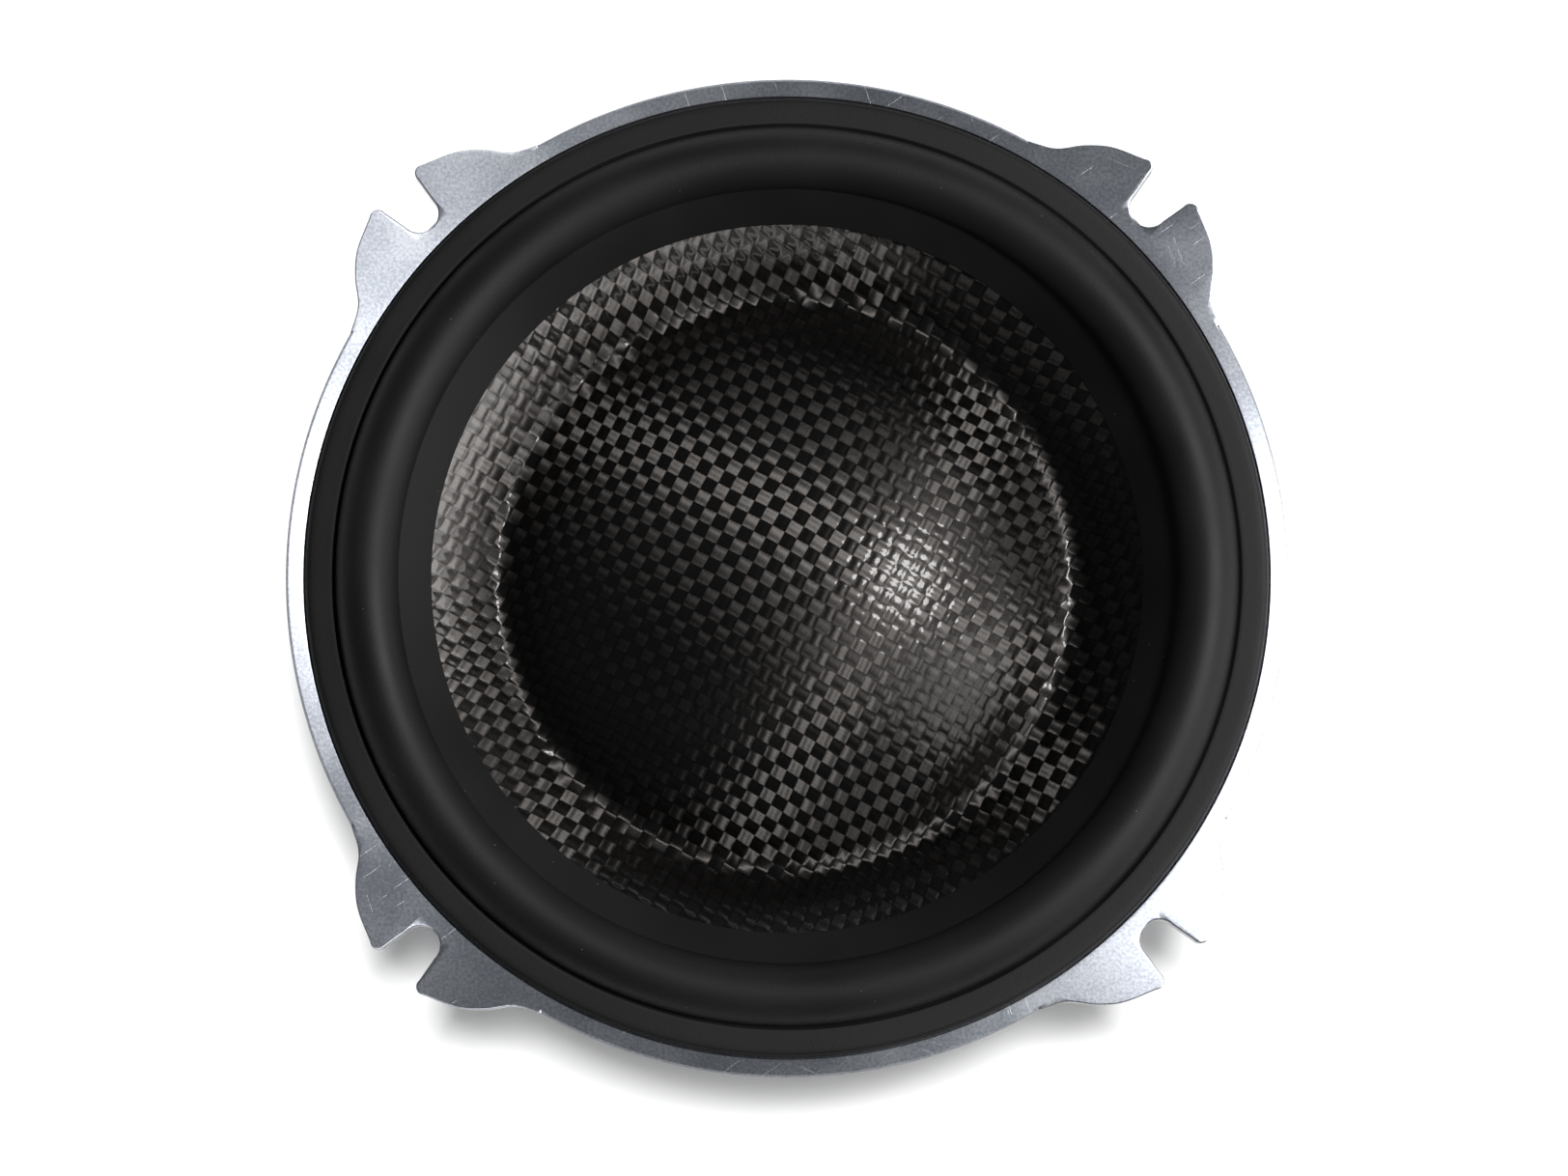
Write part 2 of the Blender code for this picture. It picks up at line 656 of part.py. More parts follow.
def build_motor():
    build_yoke()
    magnet_bottom = BACK_PLATE_TOP + GLUE_GAP
    chamfered_ring("magnet", MAGNET_HOLE, MAGNET_RADIUS, magnet_bottom, MAGNET_TOP, FERRITE)
    low, high = TOP_PLATE_BOTTOM, TOP_PLATE_TOP
    plate = chamfered_ring("top_plate", GAP_RADIUS, PLATE_RADIUS, low, high, PLATED_STEEL)
    holes = screw_holes("plate_hole", SCREW_TIP - GLUE_GAP, TOP_PLATE_TOP + CUT_SPARE)
    combine(plate, holes, "DIFFERENCE")
    on_pole = POLE_RADIUS + GLUE_GAP
    cap_outer = FORMER_INNER - CAP_CLEARANCE
    sleeve("pole_cap", on_pole, cap_outer, CAP_BOTTOM, POLE_TOP - EDGE_BREAK, COPPER)
    ring_outer = MAGNET_HOLE - GLUE_GAP
    ring_top = magnet_bottom + SHORTING_HEIGHT
    sleeve("shorting_ring", on_pole, ring_outer, magnet_bottom, ring_top, SHORTING_ALUMINIUM)


def build_boot():
    """Rubber boot that wraps the magnet between the two steel plates."""
    lip = PLATE_RADIUS + GLUE_GAP
    wall = MAGNET_RADIUS + GLUE_GAP
    outline = [
        (lip, BOOT_TOP),
        (BOOT_RADIUS - BOOT_BEVEL, BOOT_TOP),
        (BOOT_RADIUS, BOOT_TOP - BOOT_BEVEL),
        (BOOT_RADIUS, BOOT_BOTTOM + BOOT_BEVEL),
        (BOOT_RADIUS - BOOT_BEVEL, BOOT_BOTTOM),
        (lip, BOOT_BOTTOM),
        (lip, BACK_PLATE_TOP),
        (wall, BACK_PLATE_TOP),
        (wall, MAGNET_TOP + GLUE_GAP),
        (lip, MAGNET_TOP + GLUE_GAP),
    ]
    return turned("magnet_boot", outline, MOTOR_SIDES, BOOT_RUBBER)


def build_vent_screen():
    """Perforated disc in the mouth of the pole's vent."""
    top = SCREEN_SEAT_DEPTH - GLUE_GAP
    radius = SCREEN_SEAT_RADIUS - GLUE_GAP
    bottom = top - SCREEN_THICK
    screen = rod("vent_screen", radius, bottom, top, MOTOR_SIDES, PLATED_STEEL)
    low, high = bottom - CUT_SPARE, top + CUT_SPARE
    holes = []
    for ring in range(3):
        count = max(1, 6 * ring)
        for i in range(count):
            name = f"screen_hole_{ring}_{i}"
            hole = rod(name, SCREEN_HOLE_RADIUS, low, high, 6, group=CUTTERS)
            polar_place(hole, SCREEN_PITCH * ring, 2 * pi * i / count)
            holes.append(hole)
    return combine(screen, holes, "DIFFERENCE")


def build_motor_screws():
    """Socket-head screws that clamp the frame's pad to the top plate."""
    head_bottom = PAD_TOP + GLUE_GAP
    head_top = head_bottom + SCREW_HEAD
    socket_floor = head_top - SCREW_SOCKET_DEPTH
    outline = [
        (0, socket_floor),
        (SCREW_SOCKET_RADIUS, socket_floor),
        (SCREW_SOCKET_RADIUS, head_top),
        (SCREW_HEAD_RADIUS - SCREW_EDGE, head_top),
        (SCREW_HEAD_RADIUS, head_top - SCREW_EDGE),
        (SCREW_HEAD_RADIUS, head_bottom),
        (SCREW_SHANK_RADIUS, head_bottom),
        (SCREW_SHANK_RADIUS, SCREW_TIP),
        (0, SCREW_TIP),
    ]
    for i, turn in enumerate(screw_places()):
        name = f"motor_screw_{i + 1}"
        screw = turned(name, outline, SMALL_SIDES, ZINC_STEEL, closed=False)
        polar_place(screw, SCREW_CIRCLE, turn)


# ---------------------------------------------------------------- terminals
def build_board():
    half = BOARD_WIDTH / 2
    outer = BOARD_FACE + BOARD_THICK
    low, high = (-half, -outer, BOARD_BOTTOM), (half, -BOARD_FACE, BOARD_TOP)
    board = block("terminal_board", low, high, BOARD_RESIN)
    bevel = board.modifiers.new("edges", "BEVEL")
    bevel.width = BOARD_BEVEL
    bevel.segments = 1
    settle(board)
    return combine(board, board_screw_holes("board_hole"), "DIFFERENCE")


def tab_outline():
    """Side view (y, z) of a push-on tab: over the board's top, down its face, then out."""
    face = -(BOARD_FACE + BOARD_THICK + GLUE_GAP)
    over = BOARD_TOP + GLUE_GAP
    inner_end = -(BOARD_FACE + 2 * GLUE_GAP)
    return [
        (inner_end, over),
        (inner_end, over + TAB_THICK),
        (face - TAB_THICK, over + TAB_THICK),
        (face - TAB_THICK, TAB_FOOT + TAB_THICK),
        (-TAB_REACH, TAB_FOOT + TAB_THICK),
        (-TAB_REACH, TAB_FOOT),
        (face, TAB_FOOT),
        (face, over),
    ]


def build_tabs():
    """Push-on tabs of two widths, so that the polarity can't be swapped."""
    side_view = Matrix(((0, 0, 1, 0), (1, 0, 0, 0), (0, 1, 0, 0), (0, 0, 0, 1)))
    for pole, width in TAB_WIDTHS.items():
        tab = flat_plate(f"terminal_{pole}", tab_outline(), width, PLATED_BRASS)
        tab.data.transform(side_view)
        tab.location.x = TAB_SIDES[pole] * TAB_OFFSET


def build_board_screws():
    seat = BOARD_THICK + GLUE_GAP
    outline = [
        *[(radius, seat + height) for radius, height in BOARD_SCREW_CROWN],
        (BOARD_SCREW_HEAD_RADIUS, seat),
        (BOARD_SCREW_RADIUS, seat),
        (BOARD_SCREW_RADIUS, -BOARD_SCREW_LENGTH),
        (0, -BOARD_SCREW_LENGTH),
    ]
    for side, name in ((-1, "board_screw_left"), (1, "board_screw_right")):
        screw = turned(name, outline, SMALL_SIDES, ZINC_STEEL, closed=False)
        screw.rotation_euler.x = pi / 2
        screw.location = (side * BOARD_SCREW_X, -BOARD_FACE, BOARD_SCREW_Z)


def lead_route(side):
    """Slack arch of a tinsel lead, from its tab in over the spider to the former."""
    start = BOARD_FACE + GLUE_GAP
    top = BOARD_TOP + GLUE_GAP + TAB_THICK / 2
    end_radius = FORMER_OUTER + GLUE_GAP + LEAD_RADIUS + LEAD_CLEARANCE
    outer = side * TAB_OFFSET
    return [
        (outer, -start, top),
        (outer * 0.98, -0.0555, top + 0.0010),
        (outer * 0.90, -0.0480, top + 0.0014),
        (outer * 0.80, -0.0400, top - 0.0002),
        (outer * 0.70, -0.0330, 0.0509),
        (outer * 0.62, -0.0290, 0.0496),
        (outer * 0.60, -end_radius, 0.0494),
    ]


def build_leads():
    for pole, side in TAB_SIDES.items():
        curve = bpy.data.curves.new(f"tinsel_lead_{pole}", "CURVE")
        curve.dimensions = "3D"
        curve.bevel_depth = LEAD_RADIUS
        curve.bevel_resolution = 2
        curve.use_fill_caps = True
        route = smooth_through(lead_route(side), 3)
        spline = curve.splines.new("POLY")
        spline.points.add(len(route) - 1)
        for point, place in zip(spline.points, route):
            point.co = (*place, 1)
        spline.use_smooth = True
        add_object(f"tinsel_lead_{pole}", curve, TINSEL)


def main():
    build_basket()
    build_gasket()
    build_surround()
    build_diaphragm()
    build_drive_cone()
    build_spider()
    build_coil()
    build_motor()
    build_boot()
    build_vent_screen()
    build_motor_screws()
    build_board()
    build_tabs()
    build_board_screws()
    build_leads()


main()
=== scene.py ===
from math import atan2, cos, pi, radians, sin, tan

import bmesh
import bpy
import numpy as np
from mathutils import Matrix, Quaternion, Vector


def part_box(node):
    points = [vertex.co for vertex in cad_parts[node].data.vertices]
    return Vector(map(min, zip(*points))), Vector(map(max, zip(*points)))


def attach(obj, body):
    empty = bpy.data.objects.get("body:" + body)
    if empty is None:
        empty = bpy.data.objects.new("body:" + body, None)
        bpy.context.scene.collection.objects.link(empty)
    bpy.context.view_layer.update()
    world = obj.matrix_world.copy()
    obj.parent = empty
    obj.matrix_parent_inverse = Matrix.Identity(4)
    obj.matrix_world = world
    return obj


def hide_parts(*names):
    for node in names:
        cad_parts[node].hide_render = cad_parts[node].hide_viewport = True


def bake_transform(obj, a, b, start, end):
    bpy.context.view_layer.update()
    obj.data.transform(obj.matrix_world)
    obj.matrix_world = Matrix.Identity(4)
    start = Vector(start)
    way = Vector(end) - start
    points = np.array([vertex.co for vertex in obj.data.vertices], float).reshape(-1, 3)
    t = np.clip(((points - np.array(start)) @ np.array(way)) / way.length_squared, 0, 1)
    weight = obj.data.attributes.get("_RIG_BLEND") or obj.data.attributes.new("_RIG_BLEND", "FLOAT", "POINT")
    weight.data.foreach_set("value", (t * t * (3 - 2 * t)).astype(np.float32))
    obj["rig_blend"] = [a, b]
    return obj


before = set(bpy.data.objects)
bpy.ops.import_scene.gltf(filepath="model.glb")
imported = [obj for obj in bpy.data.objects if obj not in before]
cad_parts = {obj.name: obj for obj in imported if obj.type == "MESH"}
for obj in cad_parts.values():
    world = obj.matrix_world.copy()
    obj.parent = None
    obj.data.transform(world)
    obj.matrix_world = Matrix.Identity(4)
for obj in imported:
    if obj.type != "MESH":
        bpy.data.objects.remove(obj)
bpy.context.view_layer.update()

# Driving places, read from the frame (metres).
FLANGE_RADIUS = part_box("basket")[1].x
FLANGE_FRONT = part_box("basket")[1].z
GLUE_GAP = 0.0003  # between CAD pieces that touch
FLANGE_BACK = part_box("baffle_gasket")[1].z + GLUE_GAP
RIM_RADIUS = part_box("surround")[1].x
DISH_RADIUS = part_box("diaphragm")[1].x
BOARD_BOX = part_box("terminal_board")
BOARD_BACK = BOARD_BOX[1].y

# Camera: nearly straight down on the front, from a little towards the terminal side.
VIEW_ELEVATION = radians(84.7)
VIEW_WIDTH = 0.2579  # what the picture spans across at the flange
LENS = 125.0
SENSOR = 36.0
AIM = (-0.0005, -0.0023)
ROLL = radians(0.45)
FLOOR_HALF = 1.6

# Shape of the frame that its box doesn't give.
BETWEEN_LEGS = radians(15)
LUG_COUNT = 4
FIRST_LUG = radians(45)
SLOT_CENTRE = 0.0855
SLOT_RADIUS = 0.0032
TIP_CENTRE = (0.0898, 0.0053)
TIP_RADIUS = 0.0014
TIP_TURN = (radians(40), radians(-97))
FIN_EDGE = [(0.0818, 0.0180), (0.0855, 0.0150), (0.0885, 0.0115)]
LUG_ROOT_TURN = radians(15.5)
LUG_ROOT_WALL = 0.0009
LUG_ROOT_SHARE = 0.94  # of the root's turn, which keeps its inner corners in the flange
LEG_SPREAD = radians(9.5)
LEG_WIDTH = 0.0080
LEG_OUTER = [(0.0532, 0.0372), (0.0590, 0.0440), (0.0680, 0.0590), (0.0716, 0.0702)]
LEG_INNER = [(0.0689, 0.0702), (0.0640, 0.0590), (0.0560, 0.0450), (0.0518, 0.0411)]
LEG_EDGE = 0.0008
VENT_HALF_WIDTH = 0.0070
VENT_HEIGHTS = (0.0398, 0.0432)
VENT_REACH = (0.0485, 0.0590)
BOSS_DEPTH = 0.0515
BOSS_BOTTOM = 0.0380
PLATE_EDGE = 0.00025
CUP_EDGE = 0.0006
CUP_SIDES = 144
FINISH_MARGIN = 0.0002  # the machined finish starts this far below the flange's back
VENT_SIDES = 3  # the fourth side has the terminal board

# Carbon weave: flat cloth pressed into the dish, so its tows bunch on the dome's flanks.
TOW = 0.00232
WEAVE_TURN = radians(61)
TOW_STEPS = (-0.46, -0.20, 0.20, 0.46)
TOW_RISE = 0.00017
DRAPE_RADIUS = 0.062
DRAPE_EDGE = 0.043
BAND_STRETCH = 0.90
SIDE_STRETCH = 25.0  # per square metre
TOWS_EACH_WAY = 31
CREASE_STEP = 0.0002
CREASE_SOFTNESS = 0.0034
CREASE_WIDTH = 0.0024
CREASE_WANDER = 0.0001
TOW_WANDER = 0.00012
TOW_ROUND = 0.85  # how round a tow's back is: 0 is flat
TOW_SINK = 0.6  # share of the rise that lies below the dish's face
EDGE_FLAT = (0.0040, 0.0008)  # width of the smooth edge, and of the fade into it
CARBON = 0.0007

# Soft parts: the radii where each is still with the frame, and where it moves with the dish.
SURROUND_BEND = (0.0743, 0.0639)
SPIDER_BEND = (0.0512, 0.0276)
LEAD_BEND = (0.0572, 0.0272)

# Edges of turned pieces.
THICK_EDGE = 0.0004
THIN_EDGE = 0.0001
RUBBER_EDGE = 0.00018
BOOT_EDGE = 0.0006
FOAM_EDGE = 0.0002
RING_SIDES = 288
TURNED_SIDES = 192

# Motor and terminals.
CUT_SPARE = 0.001  # how far a cutter runs past what it cuts
SCREW_HEAD_RADIUS = 0.0042
SCREW_HEAD = 0.0030
SCREW_SHANK_RADIUS = 0.0025
SCREW_HOLE_RADIUS = 0.0028
SOCKET_RADIUS = 0.0023
SOCKET_DEPTH = 0.0018
SCREW_EDGE = 0.0005
KNURL = 0.00012  # depth of the head's knurling
KNURL_SIDES = 96
MOTOR_SCREWS = [f"motor_screw_{i}" for i in range(1, 5)]
BOARD_SCREWS = ("board_screw_left", "board_screw_right")
SCREEN_SIDES = 96
SCREEN_RINGS = 3
SCREEN_PITCH = 0.0032
SCREEN_HOLE_RADIUS = 0.0011
SCREEN_CUT = (-0.002, 0.004)  # heights that the cutters run between
BOARD_BEVEL = 0.0007
BOARD_HOLE_RADIUS = 0.0015
BOARD_CUT = 0.01
BOARD_CROWN = [(0, 0.0016), (0.0010, 0.00152), (0.0017, 0.0013), (0.0023, 0.0009), (0.0026, 0.0004)]
BOARD_SCREW_RADIUS = 0.0012
BOARD_SCREW_EDGE = 0.0002
RECESS = (0.0014, 0.0003)  # half length and half width of one bar of the cross
RECESS_FLOOR = 0.0007
RECESS_TOP = 0.0030
MARK = (0.0016, 0.0004)  # half length and half width of the polarity marks
MARK_RISE = 0.00025
MARK_Z = 0.0485
TAB_THICK = 0.0008
TAB_FOLD = 0.0003
TAB_TIP_CHAMFER = 0.0011
CUTTER_HALF = 0.003
TAB_HOLE_RADIUS = 0.0009
TAB_HOLE_INSET = 0.0032
LEAD_X = 0.0065
LEAD_ROUTE = [
    (1.00, -0.0583, 0.0537),
    (0.98, -0.0555, 0.0547),
    (0.90, -0.0480, 0.0551),
    (0.80, -0.0400, 0.0535),
    (0.70, -0.0330, 0.0509),
    (0.62, -0.0290, 0.0496),
    (0.60, -0.0263, 0.0494),
]
STRANDS = 7  # the last one is the core
STRAND_RADIUS = 0.00021
STRAND_CIRCLE = 0.00037
STRAND_LAY = 0.0045
SOLDER_SIZE = (0.0013, 0.0010, 0.0006)
SOLDER_SHIFT = (0, -0.0006, 0.0003)  # from the lead's end
GLUE_SIZE = (0.0013, 0.0009, 0.0009)
GLUE_SHIFT = (0, 0.0002, 0)
WIRE_PITCH = 0.0004
WIRE_GROOVE = 0.35  # depth between wires, of the pitch

SMOOTH_ANGLE = radians(32)
CORNER = radians(30)  # less than this is a point on a curve
TONE_SPREAD = 0.192
NEAR = 0.000002


# ---------------------------------------------------------------- outlines
def turn_at(before, here, after):
    """Change of direction at a corner, in radians."""
    a, b = here - before, after - here
    return abs(a.angle(b)) if a.length > NEAR and b.length > NEAR else 0.0


def neighbours(points, i, closed):
    count = len(points)
    if closed:
        return points[i - 1], points[(i + 1) % count]
    return points[max(i - 1, 0)], points[min(i + 1, count - 1)]


def sections(node, azimuth=0.0):
    """Outlines (r, z) of a CAD node in the half-plane at an azimuth, each with whether it is closed."""
    work = bmesh.new()
    work.from_mesh(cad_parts[node].data)
    bmesh.ops.remove_doubles(work, verts=work.verts, dist=NEAR)
    bmesh.ops.rotate(work, verts=work.verts, matrix=Matrix.Rotation(-azimuth, 3, "Z"))
    whole = [*work.verts, *work.edges, *work.faces]
    cut = bmesh.ops.bisect_plane(work, geom=whole, dist=NEAR, plane_co=(0, 0, 0), plane_no=(0, 1, 0))
    links = {}
    for edge in cut["geom_cut"]:
        if isinstance(edge, bmesh.types.BMEdge) and all(v.co.x > -NEAR for v in edge.verts):
            a, b = edge.verts
            if (a.co - b.co).length > NEAR:
                links.setdefault(a, []).append(b)
                links.setdefault(b, []).append(a)
    outlines = []
    while links:
        ends = [v for v in links if len(links[v]) == 1]
        closed = not ends
        here = max(ends or links, key=lambda v: v.co.z)
        path = []
        while here in links:
            path.append(Vector((max(here.co.x, 0.0), here.co.z)))
            onward = [v for v in links.pop(here) if v in links]
            if not onward:
                break
            here = onward[0]
        outlines.append((tidied(path, closed), closed))
    work.free()
    return outlines


def tidied(path, closed):
    """An outline without points on its straight sides, running outward along its top."""
    kept = []
    for i, here in enumerate(path):
        before, after = neighbours(path, i, closed)
        end = not closed and i in (0, len(path) - 1)
        if end or turn_at(before, here, after) > radians(0.5):
            kept.append(here)
    area = sum(a.x * b.y - b.x * a.y for a, b in zip(kept, [*kept[1:], kept[0]]))
    return kept[::-1] if closed and area > 0 else kept


def refined(outline, closed, steps=6):
    """The outline with a smooth curve through each run of points between its corners."""
    path = []
    count = len(outline)
    for i in range(count if closed else count - 1):
        b, c = outline[i], outline[(i + 1) % count]
        a, _ = neighbours(outline, i, closed)
        _, d = neighbours(outline, (i + 1) % count, closed)
        soft_b = 0 < turn_at(a, b, c) < CORNER
        soft_c = 0 < turn_at(b, c, d) < CORNER
        path.append(b)
        if not (soft_b or soft_c):
            continue
        if not soft_b:
            a = 2 * b - c
        if not soft_c:
            d = 2 * c - b
        for k in range(1, steps):
            t = k / steps
            bend = 2 * a - 5 * b + 4 * c - d
            swing = 3 * b - 3 * c + d - a
            path.append(0.5 * (2 * b + (c - a) * t + bend * t**2 + swing * t**3))
    return path if closed else [*path, outline[-1]]


def rounded(outline, closed, radius, steps=3):
    """The outline with its corners rounded, each within 45% of its sides."""
    path = []
    for i, here in enumerate(outline):
        before, after = neighbours(outline, i, closed)
        end = not closed and i in (0, len(outline) - 1)
        turn = turn_at(before, here, after)
        if end or turn < CORNER:
            path.append(here)
            continue
        room = 0.45 * min((here - before).length, (after - here).length)
        reach = min(radius * tan(min(turn, radians(150)) / 2), room)
        start = here + (before - here).normalized() * reach
        finish = here + (after - here).normalized() * reach
        for k in range(steps + 1):
            t = k / steps
            path.append(start * (1 - t) ** 2 + here * 2 * t * (1 - t) + finish * t**2)
    return path


def arc(centre, radius, start, end, steps):
    turns = [start + (end - start) * i / steps for i in range(steps + 1)]
    return [Vector((centre[0] + radius * cos(a), centre[1] + radius * sin(a))) for a in turns]


def smooth_through(points, steps):
    """A curve through the points, straight at its ends."""
    points = [Vector(p) for p in points]
    ends = [2 * points[0] - points[1], 2 * points[-1] - points[-2]]
    knots = [ends[0], *points, ends[1]]
    path = []
    for a, b, c, d in zip(knots, knots[1:], knots[2:], knots[3:]):
        for i in range(steps):
            t = i / steps
            bend = 2 * a - 5 * b + 4 * c - d
            swing = 3 * b - 3 * c + d - a
            path.append(0.5 * (2 * b + (c - a) * t + bend * t**2 + swing * t**3))
    return [*path, points[-1]]


# ---------------------------------------------------------------- meshes
def add(name, mesh, look=None):
    made = bpy.data.objects.new(name, mesh)
    bpy.context.scene.collection.objects.link(made)
    if look:
        mesh.materials.append(look)
    return made


def evaluated_mesh(source):
    graph = bpy.context.evaluated_depsgraph_get()
    return bpy.data.meshes.new_from_object(source.evaluated_get(graph))


def settle(piece, angle=SMOOTH_ANGLE):
    """Apply the piece's modifiers, with round faces smooth and corners sharp."""
    mesh = evaluated_mesh(piece)
    piece.modifiers.clear()
    piece.data = mesh
    mesh.shade_smooth()
    mesh.set_sharp_from_angle(angle=angle)
    return piece


def weld(mesh):
    work = bmesh.new()
    work.from_mesh(mesh)
    bmesh.ops.remove_doubles(work, verts=work.verts, dist=NEAR)
    bmesh.ops.recalc_face_normals(work, faces=work.faces)
    work.to_mesh(mesh)
    work.free()
    return mesh


def turned(name, outline, closed, sides, look=None):
    """Turn an (r, z) outline about Z."""
    count = len(outline)
    edges = [(i, (i + 1) % count) for i in range(count if closed else count - 1)]
    mesh = bpy.data.meshes.new(name)
    mesh.from_pydata([(p[0], 0, p[1]) for p in outline], edges, [])
    piece = add(name, mesh, look)
    screw = piece.modifiers.new("turn", "SCREW")
    screw.axis = "Z"
    screw.angle = 2 * pi
    screw.steps = screw.render_steps = sides
    screw.use_merge_vertices = True
    screw.merge_threshold = NEAR
    return settle(piece)


def plate(name, outline, thickness, edge):
    """A plate with an (x, y) outline, centred on z = 0, its edges rounded."""
    curve = bpy.data.curves.new(name, "CURVE")
    curve.dimensions = "2D"
    curve.fill_mode = "BOTH"
    curve.extrude = thickness / 2 - edge
    curve.bevel_depth = edge
    curve.bevel_resolution = 2
    curve.offset = -edge
    spline = curve.splines.new("POLY")
    spline.points.add(len(outline) - 1)
    for point, place in zip(spline.points, outline):
        point.co = (place[0], place[1], 0, 1)
    spline.use_cyclic_u = True
    drawn = add(name, curve)
    mesh = evaluated_mesh(drawn)
    bpy.data.objects.remove(drawn)
    return add(name, weld(mesh))


def block(name, low, high):
    mesh = bpy.data.meshes.new(name)
    work = bmesh.new()
    bmesh.ops.create_cube(work, size=1)
    size = Vector(high) - Vector(low)
    middle = (Vector(high) + Vector(low)) / 2
    fitted = Matrix.Translation(middle) @ Matrix.Diagonal((*size, 1))
    bmesh.ops.transform(work, matrix=fitted, verts=work.verts)
    work.to_mesh(mesh)
    work.free()
    return add(name, mesh)


def combine(piece, others, operation):
    """Boolean the others into the piece, and remove them."""
    bpy.context.view_layer.update()
    for other in others:
        step = piece.modifiers.new("step", "BOOLEAN")
        step.operation = operation
        step.solver = "EXACT"
        step.object = other
    settle(piece)
    for other in others:
        bpy.data.objects.remove(other)
    return piece


# ---------------------------------------------------------------- materials
class Look:
    """A Principled material with its texture nodes."""

    def __init__(self, name, colour, roughness, metallic=0.0):
        self.material = bpy.data.materials.new(name)
        self.material.use_nodes = True
        self.material.diffuse_color = (*colour, 1)
        self.nodes = self.material.node_tree.nodes
        self.links = self.material.node_tree.links
        self.shader = self.nodes["Principled BSDF"]
        self.give("Base Color", (*colour, 1))
        self.give("Roughness", roughness)
        self.give("Metallic", metallic)

    def plug(self, value, socket):
        if isinstance(value, bpy.types.NodeSocket):
            self.links.new(value, socket)
        else:
            socket.default_value = value

    def give(self, socket, value):
        self.plug(value, self.shader.inputs[socket])

    def node(self, kind, *values, **settings):
        made = self.nodes.new(kind)
        for setting, value in settings.items():
            setattr(made, setting, value)
        for value, socket in zip(values, made.inputs):
            self.plug(value, socket)
        return made

    def math(self, operation, *values):
        return self.node("ShaderNodeMath", *values, operation=operation).outputs[0]

    def times(self, a, b):
        return self.math("MULTIPLY", a, b)

    def plus(self, a, b):
        return self.math("ADD", a, b)

    def minus(self, a, b):
        return self.math("SUBTRACT", a, b)

    def maximum(self, a, b):
        return self.math("MAXIMUM", a, b)

    def vector(self, operation, *values):
        return self.node("ShaderNodeVectorMath", *values, operation=operation).outputs[0]

    def length(self, value):
        return self.node("ShaderNodeVectorMath", value, operation="LENGTH").outputs["Value"]

    def place(self):
        return self.node("ShaderNodeTexCoord").outputs["Object"]

    def parts(self, vector):
        return self.node("ShaderNodeSeparateXYZ", vector).outputs

    def joined(self, x, y, z):
        return self.node("ShaderNodeCombineXYZ", x, y, z).outputs[0]

    def noise(self, place, scale, detail=2.0):
        made = self.nodes.new("ShaderNodeTexNoise")
        self.plug(place, made.inputs["Vector"])
        made.inputs["Scale"].default_value = scale
        made.inputs["Detail"].default_value = detail
        return made.outputs["Fac"]

    def specks(self, place, scale, size):
        """1 inside small round specks, in about a quarter of the cells of a random grid."""
        made = self.nodes.new("ShaderNodeTexVoronoi")
        self.plug(place, made.inputs["Vector"])
        made.inputs["Scale"].default_value = scale
        rare = self.ramp(self.parts(made.outputs["Color"])[0], 0.72, 0.74)
        spot = self.ramp(made.outputs["Distance"], size, size * 0.5)
        return self.times(rare, spot)

    def ramp(self, value, start, end, low=0.0, high=1.0):
        made = self.node("ShaderNodeMapRange", value, start, end, low, high)
        made.interpolation_type = "SMOOTHSTEP"
        return made.outputs[0]

    def blend(self, share, a, b):
        made = self.nodes.new("ShaderNodeMix")
        made.data_type = "RGBA"
        for value, index in ((share, 0), (a, 6), (b, 7)):
            self.plug(value, made.inputs[index])
        return made.outputs[2]

    def either(self, share, a, b):
        """Like blend, for vectors: a colour socket would lose their negative parts."""
        made = self.nodes.new("ShaderNodeMix")
        made.data_type = "VECTOR"
        for value, index in ((share, 0), (a, 4), (b, 5)):
            self.plug(value, made.inputs[index])
        return made.outputs[1]

    def bump(self, height, distance, strength=1.0, normal=None):
        made = self.nodes.new("ShaderNodeBump")
        made.inputs["Strength"].default_value = strength
        made.inputs["Distance"].default_value = distance
        self.plug(height, made.inputs["Height"])
        if normal:
            self.plug(normal, made.inputs["Normal"])
        return made.outputs[0]


